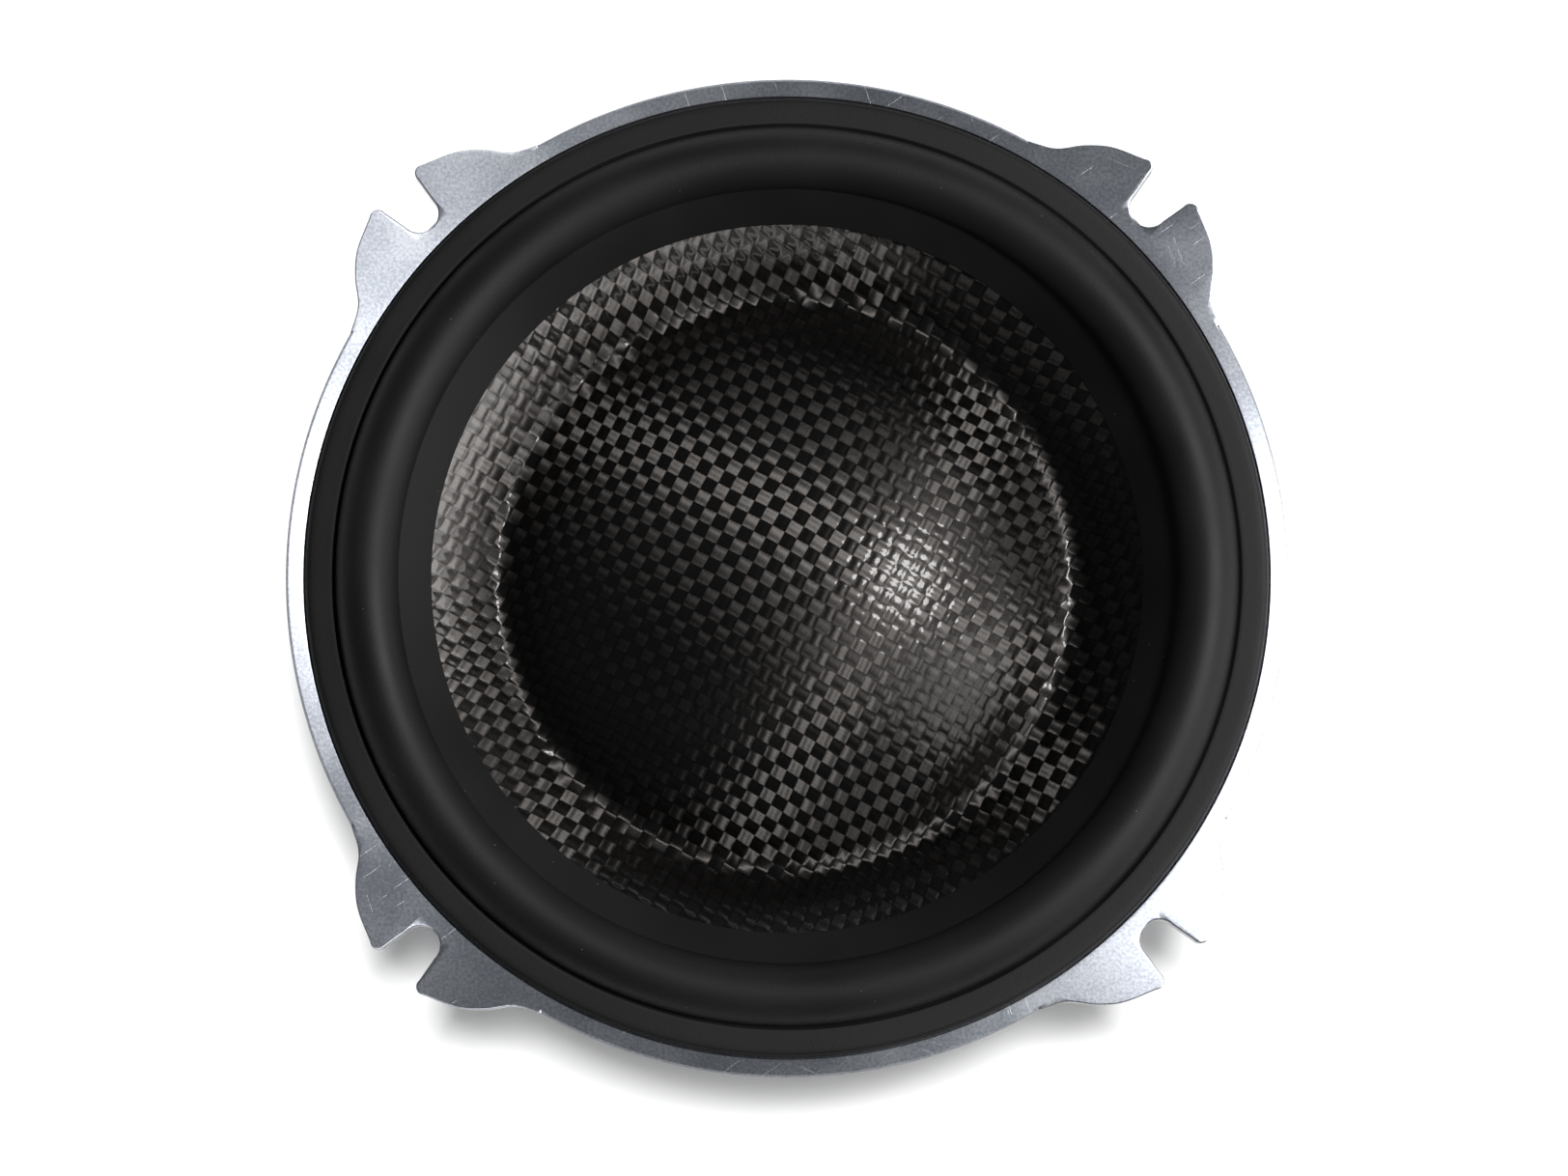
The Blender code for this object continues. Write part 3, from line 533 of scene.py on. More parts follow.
def carbon_look():
    """Plain weave: the tows of one direction and of the other catch the light in turn."""
    look = Look("woven_carbon", (0.09, 0.086, 0.084), 0.47, 1.0)
    weave = look.node("ShaderNodeUVMap", uv_map="weave").outputs[0]
    u, v, _ = look.parts(weave)
    column = look.math("FLOOR", look.plus(u, 0.5))
    row = look.math("FLOOR", look.plus(v, 0.5))
    s = look.minus(u, column)
    t = look.minus(v, row)
    across_on_top = look.math("FLOORED_MODULO", look.plus(column, row), 2.0)
    across_on_top = look.math("GREATER_THAN", across_on_top, 0.5)
    along_on_top = look.minus(1.0, across_on_top)
    along = look.plus(look.times(s, along_on_top), look.times(t, across_on_top))
    across = look.plus(look.times(t, along_on_top), look.times(s, across_on_top))
    first = (-sin(WEAVE_TURN), cos(WEAVE_TURN), 0)
    second = (cos(WEAVE_TURN), sin(WEAVE_TURN), 0)
    look.give("Tangent", look.either(across_on_top, first, second))
    look.shader.inputs["Anisotropic"].default_value = 1.0
    cell = look.plus(look.times(column, 7.31), look.times(row, 3.77))
    stretched = look.joined(look.times(along, 1.6), look.times(across, 16.0), cell)
    fibres = look.noise(stretched, 1.0, 3.0)
    # Painted shade: each tow is darkened towards its sides and ends, as shade in the grooves between tows;
    # the fibre noise adds the tows' own tone.
    side = look.ramp(look.math("ABSOLUTE", across), 0.42, 0.50, 1.0, 0.55)
    end = look.ramp(look.math("ABSOLUTE", along), 0.40, 0.50, 1.0, 0.65)
    painted_groove_shade_and_fibre_tone = look.times(look.times(side, end), look.ramp(fibres, 0.25, 0.75, 0.72, 1.18))
    tint = look.vector("SCALE", (0.084, 0.078, 0.074))
    look.plug(painted_groove_shade_and_fibre_tone, tint.node.inputs["Scale"])
    look.give("Base Color", tint)
    look.give("Roughness", look.ramp(fibres, 0.2, 0.8, 0.47, 0.54))
    look.give("Normal", look.bump(fibres, 0.00003, 0.6))
    look.shader.inputs["Coat Weight"].default_value = 0.22
    look.shader.inputs["Coat Roughness"].default_value = 0.06
    return look.material


def rubber_look():
    """Moulded rubber with a fine grain and a little dust."""
    look = Look("surround_rubber", (0.014, 0.014, 0.015), 0.55)
    place = look.place()
    grain = look.noise(place, 2600, 3.0)
    cloud = look.noise(place, 45, 2.0)
    dust = look.specks(place, 420, 0.055)
    base = look.blend(look.ramp(cloud, 0.3, 0.7), (0.0085, 0.008, 0.008, 1), (0.0125, 0.012, 0.012, 1))
    look.give("Base Color", look.blend(look.times(dust, 0.5), base, (0.30, 0.29, 0.28, 1)))
    look.give("Roughness", look.ramp(cloud, 0.2, 0.8, 0.50, 0.60))
    look.give("Normal", look.bump(grain, 0.00004, 0.5))
    look.shader.inputs["Specular IOR Level"].default_value = 0.32
    return look.material


def turned_metal_look():
    """Lathe-turned aluminium: fine rings, a mottled face with scratches and specks, and painted shade on the
    upright sides.
    """
    look = Look("machined_aluminium", (0.70, 0.73, 0.78), 0.44, 1.0)
    place = look.place()
    x, y, _ = look.parts(place)
    flat = look.joined(x, y, 0.0)
    radius = look.length(flat)
    look.give("Tangent", flat)
    look.shader.inputs["Anisotropic"].default_value = 0.88
    rings = look.noise(look.joined(look.times(radius, 9000.0), 0.0, 0.0), 1.0, 2.0)
    cloud = look.noise(place, 90, 3.0)
    marks = []
    for turn in (0.6, 1.9, 2.7):
        along = look.plus(look.times(x, cos(turn)), look.times(y, sin(turn)))
        over = look.minus(look.times(y, cos(turn)), look.times(x, sin(turn)))
        stretched = look.joined(look.times(along, 120.0), look.times(over, 7500.0), turn)
        lines = look.noise(stretched, 1.0, 0.5)
        marks.append(look.ramp(lines, 0.785, 0.825))
    scratch = look.maximum(marks[0], look.maximum(marks[1], marks[2]))
    pits = look.specks(place, 900, 0.10)
    glints = look.maximum(look.specks(place, 1400, 0.16), look.times(scratch, 0.5))
    mottle = look.plus(look.times(cloud, 0.35), look.times(look.noise(place, 1900, 5.0), 0.65))
    tone = look.blend(look.ramp(mottle, 0.36, 0.64), (0.50, 0.53, 0.60, 1), (0.77, 0.80, 0.86, 1))
    tone = look.blend(look.times(pits, 0.5), tone, (0.30, 0.30, 0.31, 1))
    tone = look.blend(glints, tone, (0.92, 0.94, 0.97, 1))
    # Painted shade: faces that stand upright, the flange's sides and slot walls, are blended to dark grey.
    facing = look.node("ShaderNodeTexCoord").outputs["Normal"]
    level = look.ramp(look.math("ABSOLUTE", look.parts(facing)[2]), 0.35, 0.9)
    look.give("Base Color", look.blend(level, (0.24, 0.24, 0.25, 1), tone))
    rough = look.plus(look.ramp(cloud, 0.2, 0.8, 0.39, 0.45), look.times(scratch, 0.06))
    look.give("Roughness", rough)
    first = look.bump(rings, 0.00001, 0.5)
    look.give("Normal", look.bump(scratch, 0.00001, 0.4, first))
    return look.material


def cast_metal_look():
    look = Look("cast_aluminium", (0.52, 0.53, 0.55), 0.45, 1.0)
    place = look.place()
    grain = look.noise(place, 1500, 4.0)
    cloud = look.noise(place, 60, 3.0)
    dark, light = (0.46, 0.47, 0.49, 1), (0.56, 0.57, 0.59, 1)
    look.give("Base Color", look.blend(look.ramp(cloud, 0.3, 0.7), dark, light))
    look.give("Roughness", look.ramp(grain, 0.3, 0.7, 0.38, 0.55))
    look.give("Normal", look.bump(grain, 0.00006, 0.7))
    return look.material


def grained_look(name, colour, roughness, metallic, scale, depth):
    """A plain moulded, plated or cast surface: cloudy tone, fine grain and uneven gloss."""
    look = Look(name, colour, roughness, metallic)
    place = look.place()
    grain = look.noise(place, scale, 3.0)
    cloud = look.noise(place, 70, 3.0)
    dark = (*[c * (1 - TONE_SPREAD) for c in colour], 1)
    light = (*[c * (1 + TONE_SPREAD) for c in colour], 1)
    look.give("Base Color", look.blend(look.ramp(cloud, 0.25, 0.75), dark, light))
    look.give("Roughness", look.ramp(grain, 0.2, 0.8, roughness - 0.08, roughness + 0.08))
    look.give("Normal", look.bump(grain, depth, 0.6))
    return look.material


# ---------------------------------------------------------------- frame
def lug_outline():
    root = (FLANGE_RADIUS * cos(LUG_ROOT_TURN), FLANGE_RADIUS * sin(LUG_ROOT_TURN))
    tip = arc(TIP_CENTRE, TIP_RADIUS, *TIP_TURN, 14)
    fin = smooth_through([root, *FIN_EDGE, tip[0]], 8)
    half_slot = arc((SLOT_CENTRE, 0), SLOT_RADIUS, pi / 2, pi, 14)
    upper = [*fin, *tip[1:], *half_slot]
    lower = [Vector((p.x, -p.y)) for p in reversed(upper[:-1])]
    inner = RIM_RADIUS + LUG_ROOT_WALL
    half_root = LUG_ROOT_SHARE * LUG_ROOT_TURN
    return [*upper, *lower, *arc((0, 0), inner, -half_root, half_root, 12)]


def build_basket(machined, cast):
    flange, cup = sorted(sections("basket", BETWEEN_LEGS), key=lambda s: -max(p.x for p in s[0]))
    basket = turned("basket_frame", rounded(*flange, PLATE_EDGE, 2), True, RING_SIDES, machined)
    basket.data.materials.append(cast)
    joined = [turned("cup", rounded(*cup, CUP_EDGE, 2), True, CUP_SIDES)]
    for lug in range(LUG_COUNT):
        turn = FIRST_LUG + 2 * pi * lug / LUG_COUNT
        made = plate("lug", lug_outline(), FLANGE_FRONT - FLANGE_BACK, PLATE_EDGE)
        lifted = Matrix.Translation((0, 0, (FLANGE_FRONT + FLANGE_BACK) / 2))
        made.data.transform(Matrix.Rotation(turn, 4, "Z") @ lifted)
        joined.append(made)
        for side in (-1, 1):
            outline = [*smooth_through(LEG_OUTER, 6), *smooth_through(LEG_INNER, 6)]
            leg = plate("leg", outline, LEG_WIDTH, LEG_EDGE)
            about_axis = Matrix.Rotation(turn + side * LEG_SPREAD, 4, "Z")
            leg.data.transform(about_axis @ Matrix.Rotation(pi / 2, 4, "X"))
            joined.append(leg)
    half = BOARD_BOX[1].x
    top = max(p.y for p in cup[0])
    joined.append(block("boss", (-half, BOARD_BACK + GLUE_GAP, BOSS_BOTTOM), (half, -BOSS_DEPTH, top)))
    combine(basket, joined, "UNION")
    cutters = []
    for side in range(VENT_SIDES):
        low = (VENT_REACH[0], -VENT_HALF_WIDTH, VENT_HEIGHTS[0])
        high = (VENT_REACH[1], VENT_HALF_WIDTH, VENT_HEIGHTS[1])
        vent = block("vent", low, high)
        vent.data.transform(Matrix.Rotation(side * pi / 2, 4, "Z"))
        cutters.append(vent)
    combine(basket, cutters, "DIFFERENCE")
    for face in basket.data.polygons:
        centre = face.center
        face.material_index = 0 if centre.z > FLANGE_BACK - FINISH_MARGIN else 1
    keep = basket.modifiers.new("flat_faces", "WEIGHTED_NORMAL")
    keep.keep_sharp = True
    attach(basket, "frame")
    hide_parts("basket")
    return basket


# ---------------------------------------------------------------- dish and surround
def dish_profile():
    """Radii and heights of the diaphragm's front face, finely stepped."""
    outline, closed = sections("diaphragm")[0]
    fine = refined(outline, closed, 8)
    last = max(range(len(fine)), key=lambda i: (fine[i].x, fine[i].y))
    radii = np.array([p.x for p in fine[: last + 1]])
    heights = np.array([p.y for p in fine[: last + 1]])
    even = np.arange(0, DISH_RADIUS, CREASE_STEP)
    level = np.interp(even, radii, heights)
    reach = int(CREASE_SOFTNESS / CREASE_STEP)
    padded = np.pad(level, reach, mode="reflect", reflect_type="odd")
    window = np.hanning(2 * reach + 1)
    return even, np.convolve(padded, window / window.sum(), mode="valid")


def drape(along, over):
    """Where a tow crossing lies in plan, from its place in the flat cloth."""
    def pressed(value):
        edge = DRAPE_RADIUS * sin(DRAPE_EDGE / DRAPE_RADIUS)
        inner = DRAPE_RADIUS * np.sin(np.clip(np.abs(value), 0, DRAPE_EDGE) / DRAPE_RADIUS)
        outer = np.clip(np.abs(value) - DRAPE_EDGE, 0, None) * BAND_STRETCH
        return np.sign(value) * np.where(np.abs(value) > DRAPE_EDGE, edge + outer, inner)
    x, y = pressed(along), pressed(over)
    x, y = x * (1 + SIDE_STRETCH * y**2), y * (1 + SIDE_STRETCH * x**2)
    # Slow waves, so that no tow runs quite straight.
    x = x + TOW_WANDER * (np.sin(over / 0.0090 + 0.7) + np.sin(over / 0.0037 + along / 0.021))
    y = y + TOW_WANDER * (np.sin(along / 0.0104 + 2.1) + np.sin(along / 0.0041 - over / 0.017))
    turn = WEAVE_TURN
    return x * cos(turn) - y * sin(turn), x * sin(turn) + y * cos(turn)


def build_diaphragm(look):
    """One pressed sheet of plain weave, its tows standing out as in the cloth."""
    steps = np.array([i + s for i in range(-TOWS_EACH_WAY, TOWS_EACH_WAY + 1) for s in TOW_STEPS])
    u, v = np.meshgrid(steps, steps, indexing="ij")
    x, y = drape(u * TOW, v * TOW)
    radius = np.hypot(x, y)
    radii, heights = dish_profile()
    column, row = np.floor(u + 0.5), np.floor(v + 0.5)
    s, t = u - column, v - row
    over = (column + row) % 2 > 0.5
    crease = radii[np.argmin(np.where(radii < 0.9 * DISH_RADIUS, heights, np.inf))]
    near_crease = np.exp(-(((radius - crease) / CREASE_WIDTH) ** 2))
    bend = np.where(over, CREASE_WANDER, -CREASE_WANDER) * near_crease
    level = np.interp(radius + bend, radii, heights)
    slope = np.interp(radius, radii, np.gradient(heights, radii))
    along, across = np.where(over, t, s), np.where(over, s, t)
    crimp = 0.10 + 0.90 * np.cos(pi * along)
    dome = np.sqrt(1 - (1.8 * across) ** 2 * TOW_ROUND)
    rise = TOW_RISE * (crimp * dome - TOW_SINK)
    rise = rise * np.clip((DISH_RADIUS - EDGE_FLAT[0] - radius) / EDGE_FLAT[1], 0, 1)
    tilt = np.sqrt(1 + slope**2)
    safe = np.maximum(radius, NEAR)
    x = x - rise * slope / tilt * x / safe
    y = y - rise * slope / tilt * y / safe
    z = level + rise / tilt
    size = len(steps)
    index = np.arange(size * size).reshape(size, size)
    quads = np.stack([index[:-1, :-1], index[1:, :-1], index[1:, 1:], index[:-1, 1:]], -1).reshape(-1, 4)
    places = np.stack([x.ravel(), y.ravel(), z.ravel()], -1)
    middle = np.hypot(*places[quads].mean(1)[:, :2].T)
    quads = quads[middle < DISH_RADIUS]
    used = np.unique(quads)
    renumber = np.zeros(size * size, int)
    renumber[used] = np.arange(len(used))
    mesh = bpy.data.meshes.new("woven_dish")
    mesh.from_pydata(places[used].tolist(), [], renumber[quads].tolist())
    uv = mesh.uv_layers.new(name="weave")
    corners = np.zeros(len(mesh.loops), np.int32)
    mesh.loops.foreach_get("vertex_index", corners)
    flat = np.stack([u.ravel()[used], v.ravel()[used]], -1)[corners]
    uv.data.foreach_set("uv", flat.astype(np.float32).ravel())
    edge_to_circle(mesh)
    dish = add("diaphragm_weave", mesh, look)
    shell = dish.modifiers.new("thickness", "SOLIDIFY")
    shell.thickness = CARBON - TOW_RISE
    shell.offset = -1
    settle(dish, radians(75))
    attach(dish, "moving_assembly")
    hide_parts("diaphragm")
    return dish


def edge_to_circle(mesh):
    """Pull the outer edge of the cloth onto a true circle."""
    work = bmesh.new()
    work.from_mesh(mesh)
    for vertex in work.verts:
        if vertex.is_boundary:
            flat = Vector((vertex.co.x, vertex.co.y))
            flat = flat.normalized() * DISH_RADIUS
            vertex.co.x, vertex.co.y = flat
    work.to_mesh(mesh)
    work.free()


def radial_blend(piece, still, moving):
    """The piece stays with the frame at one radius and moves with the dish at the other."""
    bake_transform(piece, "frame", "moving_assembly", start=(still, 0, 0), end=(moving, 0, 0))
    mesh = piece.data
    places = np.zeros(len(mesh.vertices) * 3, np.float32)
    mesh.vertices.foreach_get("co", places)
    places = places.reshape(-1, 3)
    share = np.clip((np.hypot(places[:, 0], places[:, 1]) - still) / (moving - still), 0, 1)
    share = share * share * (3 - 2 * share)
    mesh.attributes["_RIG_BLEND"].data.foreach_set("value", share.astype(np.float32))


def build_surround(look):
    outline, closed = sections("surround")[0]
    outline = rounded(refined(outline, closed), closed, RUBBER_EDGE, 2)
    ring = turned("surround_rubber", outline, closed, RING_SIDES, look)
    radial_blend(ring, *SURROUND_BEND)
    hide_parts("surround")


# ---------------------------------------------------------------- everything turned
def build_turned(node, look, body="frame", edge=THICK_EDGE, bend=None):
    outline, closed = sections(node)[0]
    outline = rounded(refined(outline, closed), closed, edge)
    piece = turned(f"{node}_turned", outline, closed, TURNED_SIDES, look)
    if bend:
        radial_blend(piece, *bend)
    else:
        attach(piece, body)
    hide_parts(node)
    return piece


def hand_over(piece, node, look, body="frame"):
    """The finished piece takes the CAD node's place."""
    piece.data.materials.clear()
    piece.data.materials.append(look)
    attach(piece, body)
    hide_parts(node)


def prism(name, radius, sides, bottom, top):
    mesh = bpy.data.meshes.new(name)
    work = bmesh.new()
    bmesh.ops.create_cone(
        work, cap_ends=True, segments=sides, radius1=radius, radius2=radius, depth=top - bottom)
    bmesh.ops.translate(work, verts=work.verts, vec=(0, 0, (top + bottom) / 2))
    work.to_mesh(mesh)
    work.free()
    return add(name, mesh)


def drop(name, centre, size, look, body):
    """A flattened blob of solder or glue."""
    mesh = bpy.data.meshes.new(name)
    work = bmesh.new()
    bmesh.ops.create_uvsphere(work, u_segments=32, v_segments=16, radius=1)
    fitted = Matrix.Translation(centre) @ Matrix.Diagonal((*size, 1))
    bmesh.ops.transform(work, matrix=fitted, verts=work.verts)
    work.to_mesh(mesh)
    work.free()
    mesh.shade_smooth()
    piece = add(name, mesh, look)
    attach(piece, body)


# ---------------------------------------------------------------- motor
def middle(node):
    low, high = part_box(node)
    return (low + high) / 2


def build_top_plate(look):
    outline, closed = sections("top_plate")[0]
    ring = turned("top_plate_turned", rounded(outline, closed, THICK_EDGE), closed, TURNED_SIDES)
    holes = []
    for node in MOTOR_SCREWS:
        low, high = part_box(node)
        hole = prism("hole", SCREW_HOLE_RADIUS, 32, low.z - GLUE_GAP, high.z)
        centre = middle(node)
        hole.data.transform(Matrix.Translation((centre.x, centre.y, 0)))
        holes.append(hole)
    combine(ring, holes, "DIFFERENCE")
    hand_over(ring, "top_plate", look)


def build_vent_screen(look):
    low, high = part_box("vent_screen")
    rim = arc((0, 0), high.x, 0, 2 * pi * (1 - 1 / SCREEN_SIDES), SCREEN_SIDES - 1)
    disc = plate("vent_screen_punched", rim, high.z - low.z, THIN_EDGE)
    disc.data.transform(Matrix.Translation((0, 0, (low.z + high.z) / 2)))
    holes = []
    for ring in range(SCREEN_RINGS):
        count = max(1, 6 * ring)
        for i in range(count):
            hole = prism("hole", SCREEN_HOLE_RADIUS, 24, *SCREEN_CUT)
            turn = 2 * pi * i / count
            place = (SCREEN_PITCH * ring * cos(turn), SCREEN_PITCH * ring * sin(turn), 0)
            hole.data.transform(Matrix.Translation(place))
            holes.append(hole)
    combine(disc, holes, "DIFFERENCE")
    hand_over(disc, "vent_screen", look)


def build_motor_screws(look):
    """Socket-head screws with knurled heads."""
    for node in MOTOR_SCREWS:
        low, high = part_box(node)
        seat = high.z - SCREW_HEAD
        corners = [(0, high.z), (SCREW_HEAD_RADIUS, high.z), (SCREW_HEAD_RADIUS, seat)]
        corners += [(SCREW_SHANK_RADIUS, seat), (SCREW_SHANK_RADIUS, low.z), (0, low.z)]
        outline = rounded([Vector(c) for c in corners], False, SCREW_EDGE)
        screw = turned(f"{node}_knurled", outline, False, KNURL_SIDES)
        for vertex in screw.data.vertices:
            x, y, _ = vertex.co
            step = round(atan2(y, x) / (2 * pi / KNURL_SIDES))
            if step % 2 and np.hypot(x, y) > SCREW_HEAD_RADIUS - 10 * NEAR:
                vertex.co.x, vertex.co.y = Vector((x, y)) * (1 - KNURL / SCREW_HEAD_RADIUS)
        socket = prism("socket", SOCKET_RADIUS, 6, high.z - SOCKET_DEPTH, high.z + CUT_SPARE)
        combine(screw, [socket], "DIFFERENCE")
        centre = middle(node)
        screw.data.transform(Matrix.Translation((centre.x, centre.y, 0)))
        hand_over(screw, node, look)


def build_winding(look):
    """Round wire wound in close turns on the former."""
    low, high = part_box("coil_winding")
    inner = min(p.x for p in sections("coil_winding")[0][0])
    turns = round((high.z - low.z) / WIRE_PITCH)
    outline = [Vector((inner, low.z)), Vector((inner, high.z))]
    for i in range(4 * turns, -1, -1):
        groove = WIRE_GROOVE * WIRE_PITCH * (1 - abs(sin(pi * i / 4)))
        outline.append(Vector((high.x - groove, low.z + (high.z - low.z) * i / (4 * turns))))
    coil = turned("coil_winding_turns", outline, True, 96)
    coil.data.set_sharp_from_angle(angle=radians(60))
    hand_over(coil, "coil_winding", look, "moving_assembly")


# ---------------------------------------------------------------- terminals
def build_board(look):
    """Moulded board with raised polarity marks."""
    low, high = BOARD_BOX
    board = block("terminal_board_moulded", low, high)
    bevel = board.modifiers.new("edges", "BEVEL")
    bevel.width = BOARD_BEVEL
    bevel.segments = 4
    settle(board)
    length, width = MARK
    face, root = low.y - MARK_RISE, low.y + MARK_RISE
    marks = []
    for side in (-1, 1):
        x = middle("board_screw_right").x * side
        bars = [(length, width)] if side < 0 else [(length, width), (width, length)]
        for half_x, half_z in bars:
            low_corner = (x - half_x, face, MARK_Z - half_z)
            marks.append(block("mark", low_corner, (x + half_x, root, MARK_Z + half_z)))
    combine(board, marks, "UNION")
    holes = []
    for node in BOARD_SCREWS:
        hole = prism("hole", BOARD_HOLE_RADIUS, 32, -BOARD_CUT, BOARD_CUT)
        hole.data.transform(Matrix.Translation(middle(node)) @ Matrix.Rotation(pi / 2, 4, "X"))
        holes.append(hole)
    combine(board, holes, "DIFFERENCE")
    hand_over(board, "terminal_board", look)


def build_board_screws(look):
    """Pan-head screws with a cross recess."""
    seat = BOARD_BOX[0].y - GLUE_GAP
    for node in BOARD_SCREWS:
        _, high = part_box(node)
        rim, shank, tip = BOARD_CROWN[-1][0], BOARD_SCREW_RADIUS, seat - high.y
        corners = [*BOARD_CROWN, (rim, 0), (shank, 0), (shank, tip), (0, tip)]
        outline = rounded([Vector(c) for c in corners], False, BOARD_SCREW_EDGE)
        screw = turned(f"{node}_cross", outline, False, 48)
        slots = []
        for x, y in (RECESS, RECESS[::-1]):
            slots.append(block("slot", (-x, -y, RECESS_FLOOR), (x, y, RECESS_TOP)))
        combine(screw, slots, "DIFFERENCE")
        centre = middle(node)
        stand = Matrix.Translation((centre.x, seat, centre.z)) @ Matrix.Rotation(pi / 2, 4, "X")
        screw.data.transform(stand)
        hand_over(screw, node, look)


def build_tabs(look):
    """Stamped push-on tabs with chamfered tips and a latch hole."""
    face = BOARD_BOX[0].y - GLUE_GAP
    side_view = Matrix(((0, 0, 1, 0), (1, 0, 0, 0), (0, 1, 0, 0), (0, 0, 0, 1)))
    for pole in ("positive", "negative"):
        node = f"terminal_{pole}"
        low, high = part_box(node)
        under = high.z - TAB_THICK
        corners = [(high.y, under), (high.y, high.z), (face - TAB_THICK, high.z)]
        corners += [(face - TAB_THICK, low.z + TAB_THICK), (low.y, low.z + TAB_THICK)]
        corners += [(low.y, low.z), (face, low.z), (face, under)]
        outline = rounded([Vector(c) for c in corners], True, TAB_FOLD)
        tab = plate(f"{node}_stamped", outline, high.x - low.x, THIN_EDGE)
        tab.data.transform(Matrix.Translation((middle(node).x, 0, 0)) @ side_view)
        hole = prism("hole", TAB_HOLE_RADIUS, 32, low.z - CUT_SPARE, low.z + 2 * CUT_SPARE)
        hole.data.transform(Matrix.Translation((middle(node).x, low.y + TAB_HOLE_INSET, 0)))
        cutters = [hole]
        for x, side in ((low.x, -1), (high.x, 1)):
            cutter = block("chamfer", (-CUTTER_HALF,) * 3, (CUTTER_HALF,) * 3)
            out = Vector((side, -1, 0)).normalized() * (CUTTER_HALF - TAB_TIP_CHAMFER / 2**0.5)
            turn = Matrix.Translation(Vector((x, low.y, low.z)) + out) @ Matrix.Rotation(pi / 4, 4, "Z")
            cutter.data.transform(turn)
            cutters.append(cutter)
        combine(tab, cutters, "DIFFERENCE")
        hand_over(tab, node, look)


def build_leads(look, solder, glue):
    """Seven twisted strands each, soldered to the tab and glued to the former."""
    for pole, side in (("positive", 1), ("negative", -1)):
        route = smooth_through([(side * LEAD_X * share, y, z) for share, y, z in LEAD_ROUTE], 9)
        curve = bpy.data.curves.new(f"tinsel_{pole}", "CURVE")
        curve.dimensions = "3D"
        curve.bevel_depth = STRAND_RADIUS
        curve.bevel_resolution = 1
        curve.use_fill_caps = True
        for strand in range(STRANDS):
            spline = curve.splines.new("POLY")
            spline.points.add(len(route) - 1)
            spline.use_smooth = True
            run = 0.0
            for i, here in enumerate(route):
                before, after = neighbours(route, i, False)
                run += (here - before).length
                ahead = (after - before).normalized()
                beside = ahead.cross(Vector((0, 0, 1))).normalized()
                above = beside.cross(ahead)
                turn = 2 * pi * (run / STRAND_LAY + strand / (STRANDS - 1))
                reach = STRAND_CIRCLE if strand < STRANDS - 1 else 0.0
                place = here + (beside * cos(turn) + above * sin(turn)) * reach
                spline.points[i].co = (*place, 1)
        drawn = add("drawn", curve)
        mesh = evaluated_mesh(drawn)
        bpy.data.objects.remove(drawn)
        mesh.materials.clear()
        mesh.shade_smooth()
        lead = add(f"tinsel_lead_{pole}_twisted", mesh, look)
        radial_blend(lead, *LEAD_BEND)
        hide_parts(f"tinsel_lead_{pole}")
        start, end = route[0], route[-1]
        soldered = start + Vector(SOLDER_SHIFT)
        drop(f"solder_{pole}", soldered, SOLDER_SIZE, solder, "frame")
        glued = end + Vector(GLUE_SHIFT)
        drop(f"lead_glue_{pole}", glued, GLUE_SIZE, glue, "moving_assembly")


# ---------------------------------------------------------------- stage, light and camera
def add_floor():
    floor = block("floor", (-FLOOR_HALF, -FLOOR_HALF, -0.02), (FLOOR_HALF, FLOOR_HALF, 0.0))
    look = Look("floor_paper", (0.86, 0.86, 0.86), 0.8)
    cloud = look.noise(look.place(), 8, 2.0)
    look.give("Base Color", look.blend(cloud, (0.85, 0.85, 0.85, 1), (0.88, 0.88, 0.88, 1)))
    floor.data.materials.append(look.material)
    return floor


def add_light(name, azimuth, tilt, distance, size, radiance, colour=(1, 1, 1)):
    """A rectangular soft light aimed at the speaker, tilted from straight above."""
    data = bpy.data.lights.new(name, "AREA")
    data.shape = "RECTANGLE"
    data.size, data.size_y = size
    data.energy = radiance * pi * size[0] * size[1]
    data.color = colour
    lamp = bpy.data.objects.new(name, data)
    bpy.context.scene.collection.objects.link(lamp)
    toward = Vector((sin(tilt) * cos(azimuth), sin(tilt) * sin(azimuth), cos(tilt)))
    lamp.location = Vector((0, 0, FLANGE_FRONT)) + toward * distance
    lamp.rotation_mode = "QUATERNION"
    lamp.rotation_quaternion = (-toward).to_track_quat("-Z", "Y")
    return lamp


def light_only(piece, *lamps):
    """The lamps light this piece and nothing else."""
    only = bpy.data.collections.new(f"{piece.name}_only")
    only.objects.link(piece)
    for lamp in lamps:
        lamp.light_linking.receiver_collection = only


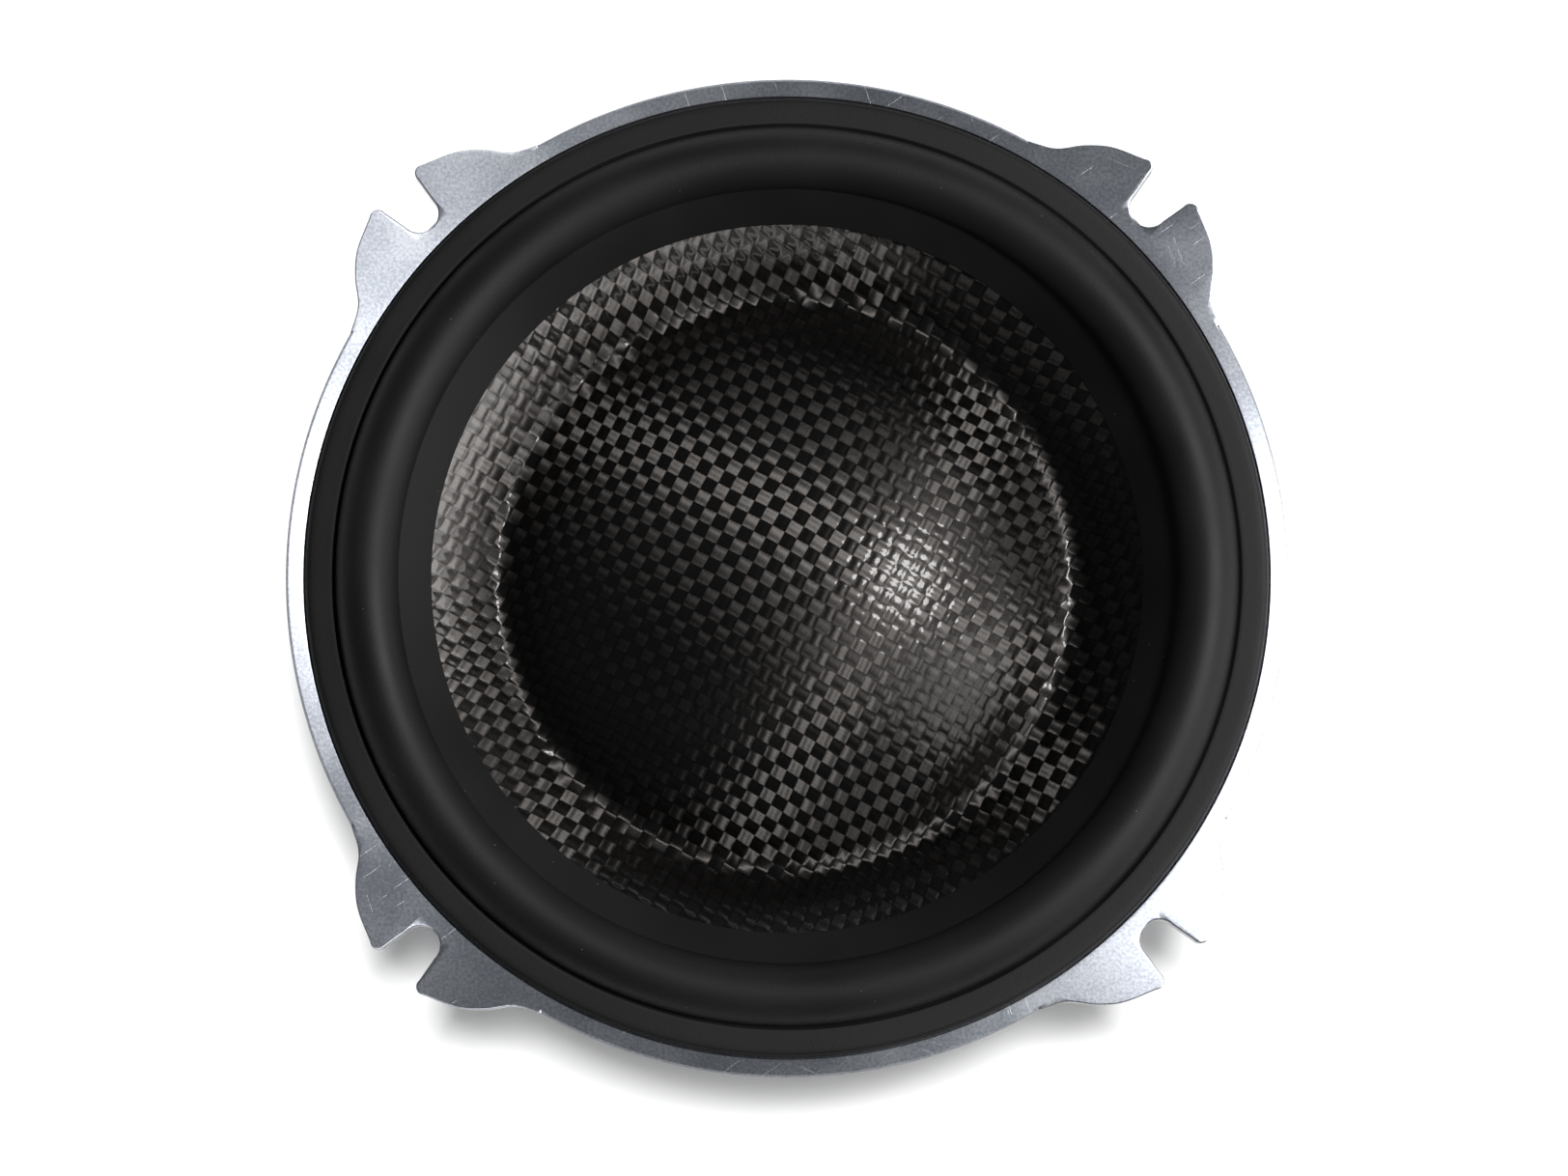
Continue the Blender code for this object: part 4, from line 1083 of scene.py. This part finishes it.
def add_lights(floor, basket, dish):
    key = add_light("key", radians(9), radians(30), 1.1, (0.22, 0.22), 50.0)
    add_light("low_key", radians(-28), radians(50), 1.1, (0.42, 0.42), 4.0)
    add_light("side", radians(-6), radians(80), 1.2, (0.9, 0.30), 3.0)
    add_light("back", radians(84), radians(80), 1.2, (1.1, 0.16), 1.5, (0.92, 0.96, 1.0))
    light_only(dish,
               add_light("cloth_side", radians(-10), radians(76), 1.2, (1.2, 0.5), 8.0),
               add_light("cloth_front", radians(-72), radians(80), 1.2, (1.1, 0.20), 5.0))
    light_only(basket, add_light("flange_card", radians(-24), radians(30), 1.1, (0.40, 0.40), 9.0))
    light_only(floor,
               add_light("floor_wash", radians(50), radians(3), 3.5, (0.4, 0.4), 292.0),
               add_light("floor_fill", 0.0, 0.0, 1.3, (2.2, 2.2), 0.5))
    # The key lights everything but the floor.
    all_but_floor = bpy.data.collections.new("all_but_floor")
    all_but_floor.objects.link(floor)
    all_but_floor.collection_objects[0].light_linking.link_state = "EXCLUDE"
    key.light_linking.receiver_collection = all_but_floor
    world = bpy.data.worlds.new("studio")
    world.use_nodes = True
    world.node_tree.nodes["Background"].inputs["Color"].default_value = (0.92, 0.96, 1.0, 1)
    world.node_tree.nodes["Background"].inputs["Strength"].default_value = 0.08
    bpy.context.scene.world = world


def add_camera():
    data = bpy.data.cameras.new("camera")
    data.lens = LENS
    data.sensor_width = SENSOR
    camera = bpy.data.objects.new("camera", data)
    bpy.context.scene.collection.objects.link(camera)
    back = Vector((0, -cos(VIEW_ELEVATION), sin(VIEW_ELEVATION)))
    camera.location = Vector((*AIM, FLANGE_FRONT)) + back * (VIEW_WIDTH * LENS / SENSOR)
    camera.rotation_mode = "QUATERNION"
    camera.rotation_quaternion = (-back).to_track_quat("-Z", "Y") @ Quaternion((0, 0, 1), -ROLL)
    bpy.context.scene.camera = camera


def main():
    add_camera()
    floor = add_floor()
    bpy.context.scene.view_settings.view_transform = "Standard"

    steel = grained_look("black_zinc_steel", (0.09, 0.09, 0.095), 0.38, 1.0, 900, 0.00002)
    copper = grained_look("copper", (0.72, 0.31, 0.16), 0.30, 1.0, 700, 0.00002)
    zinc = grained_look("zinc_steel", (0.55, 0.56, 0.58), 0.30, 1.0, 900, 0.00001)
    brass = grained_look("plated_brass", (0.80, 0.60, 0.24), 0.25, 1.0, 900, 0.00001)

    basket = build_basket(turned_metal_look(), cast_metal_look())
    dish = build_diaphragm(carbon_look())
    build_surround(rubber_look())
    add_lights(floor, basket, dish)
    fibre = grained_look("drive_cone_fibre", (0.09, 0.06, 0.03), 0.70, 0.0, 1200, 0.00010)
    build_turned("drive_cone", fibre, "moving_assembly", THIN_EDGE)
    foil = grained_look("former_polyimide", (0.16, 0.07, 0.015), 0.35, 0.0, 500, 0.00002)
    build_turned("coil_former", foil, "moving_assembly", THIN_EDGE)
    build_winding(copper)
    cloth = grained_look("spider_cloth", (0.42, 0.25, 0.06), 0.85, 0.0, 2500, 0.00010)
    build_turned("spider", cloth, edge=THIN_EDGE, bend=SPIDER_BEND)
    build_turned("yoke", steel)
    ferrite = grained_look("ferrite", (0.04, 0.04, 0.042), 0.55, 0.0, 1500, 0.00008)
    build_turned("magnet", ferrite)
    build_turned("pole_cap", copper, edge=THIN_EDGE)
    ring = grained_look("shorting_aluminium", (0.70, 0.71, 0.73), 0.35, 1.0, 900, 0.00001)
    build_turned("shorting_ring", ring)
    boot = grained_look("boot_rubber", (0.018, 0.018, 0.019), 0.70, 0.0, 1800, 0.00006)
    build_turned("magnet_boot", boot, edge=BOOT_EDGE)
    foam = grained_look("gasket_foam", (0.03, 0.03, 0.03), 0.95, 0.0, 3000, 0.00020)
    build_turned("baffle_gasket", foam, edge=FOAM_EDGE)
    resin = grained_look("terminal_resin", (0.03, 0.03, 0.032), 0.45, 0.0, 1600, 0.00004)
    tinsel = grained_look("tinsel_braid", (0.66, 0.60, 0.50), 0.45, 1.0, 3000, 0.00010)
    glue = grained_look("amber_glue", (0.30, 0.13, 0.02), 0.25, 0.0, 400, 0.00003)
    solder = grained_look("solder", (0.62, 0.62, 0.64), 0.28, 1.0, 800, 0.00002)
    build_top_plate(steel)
    build_vent_screen(steel)
    build_motor_screws(zinc)
    build_board(resin)
    build_board_screws(zinc)
    build_tabs(brass)
    build_leads(tinsel, solder, glue)


main()
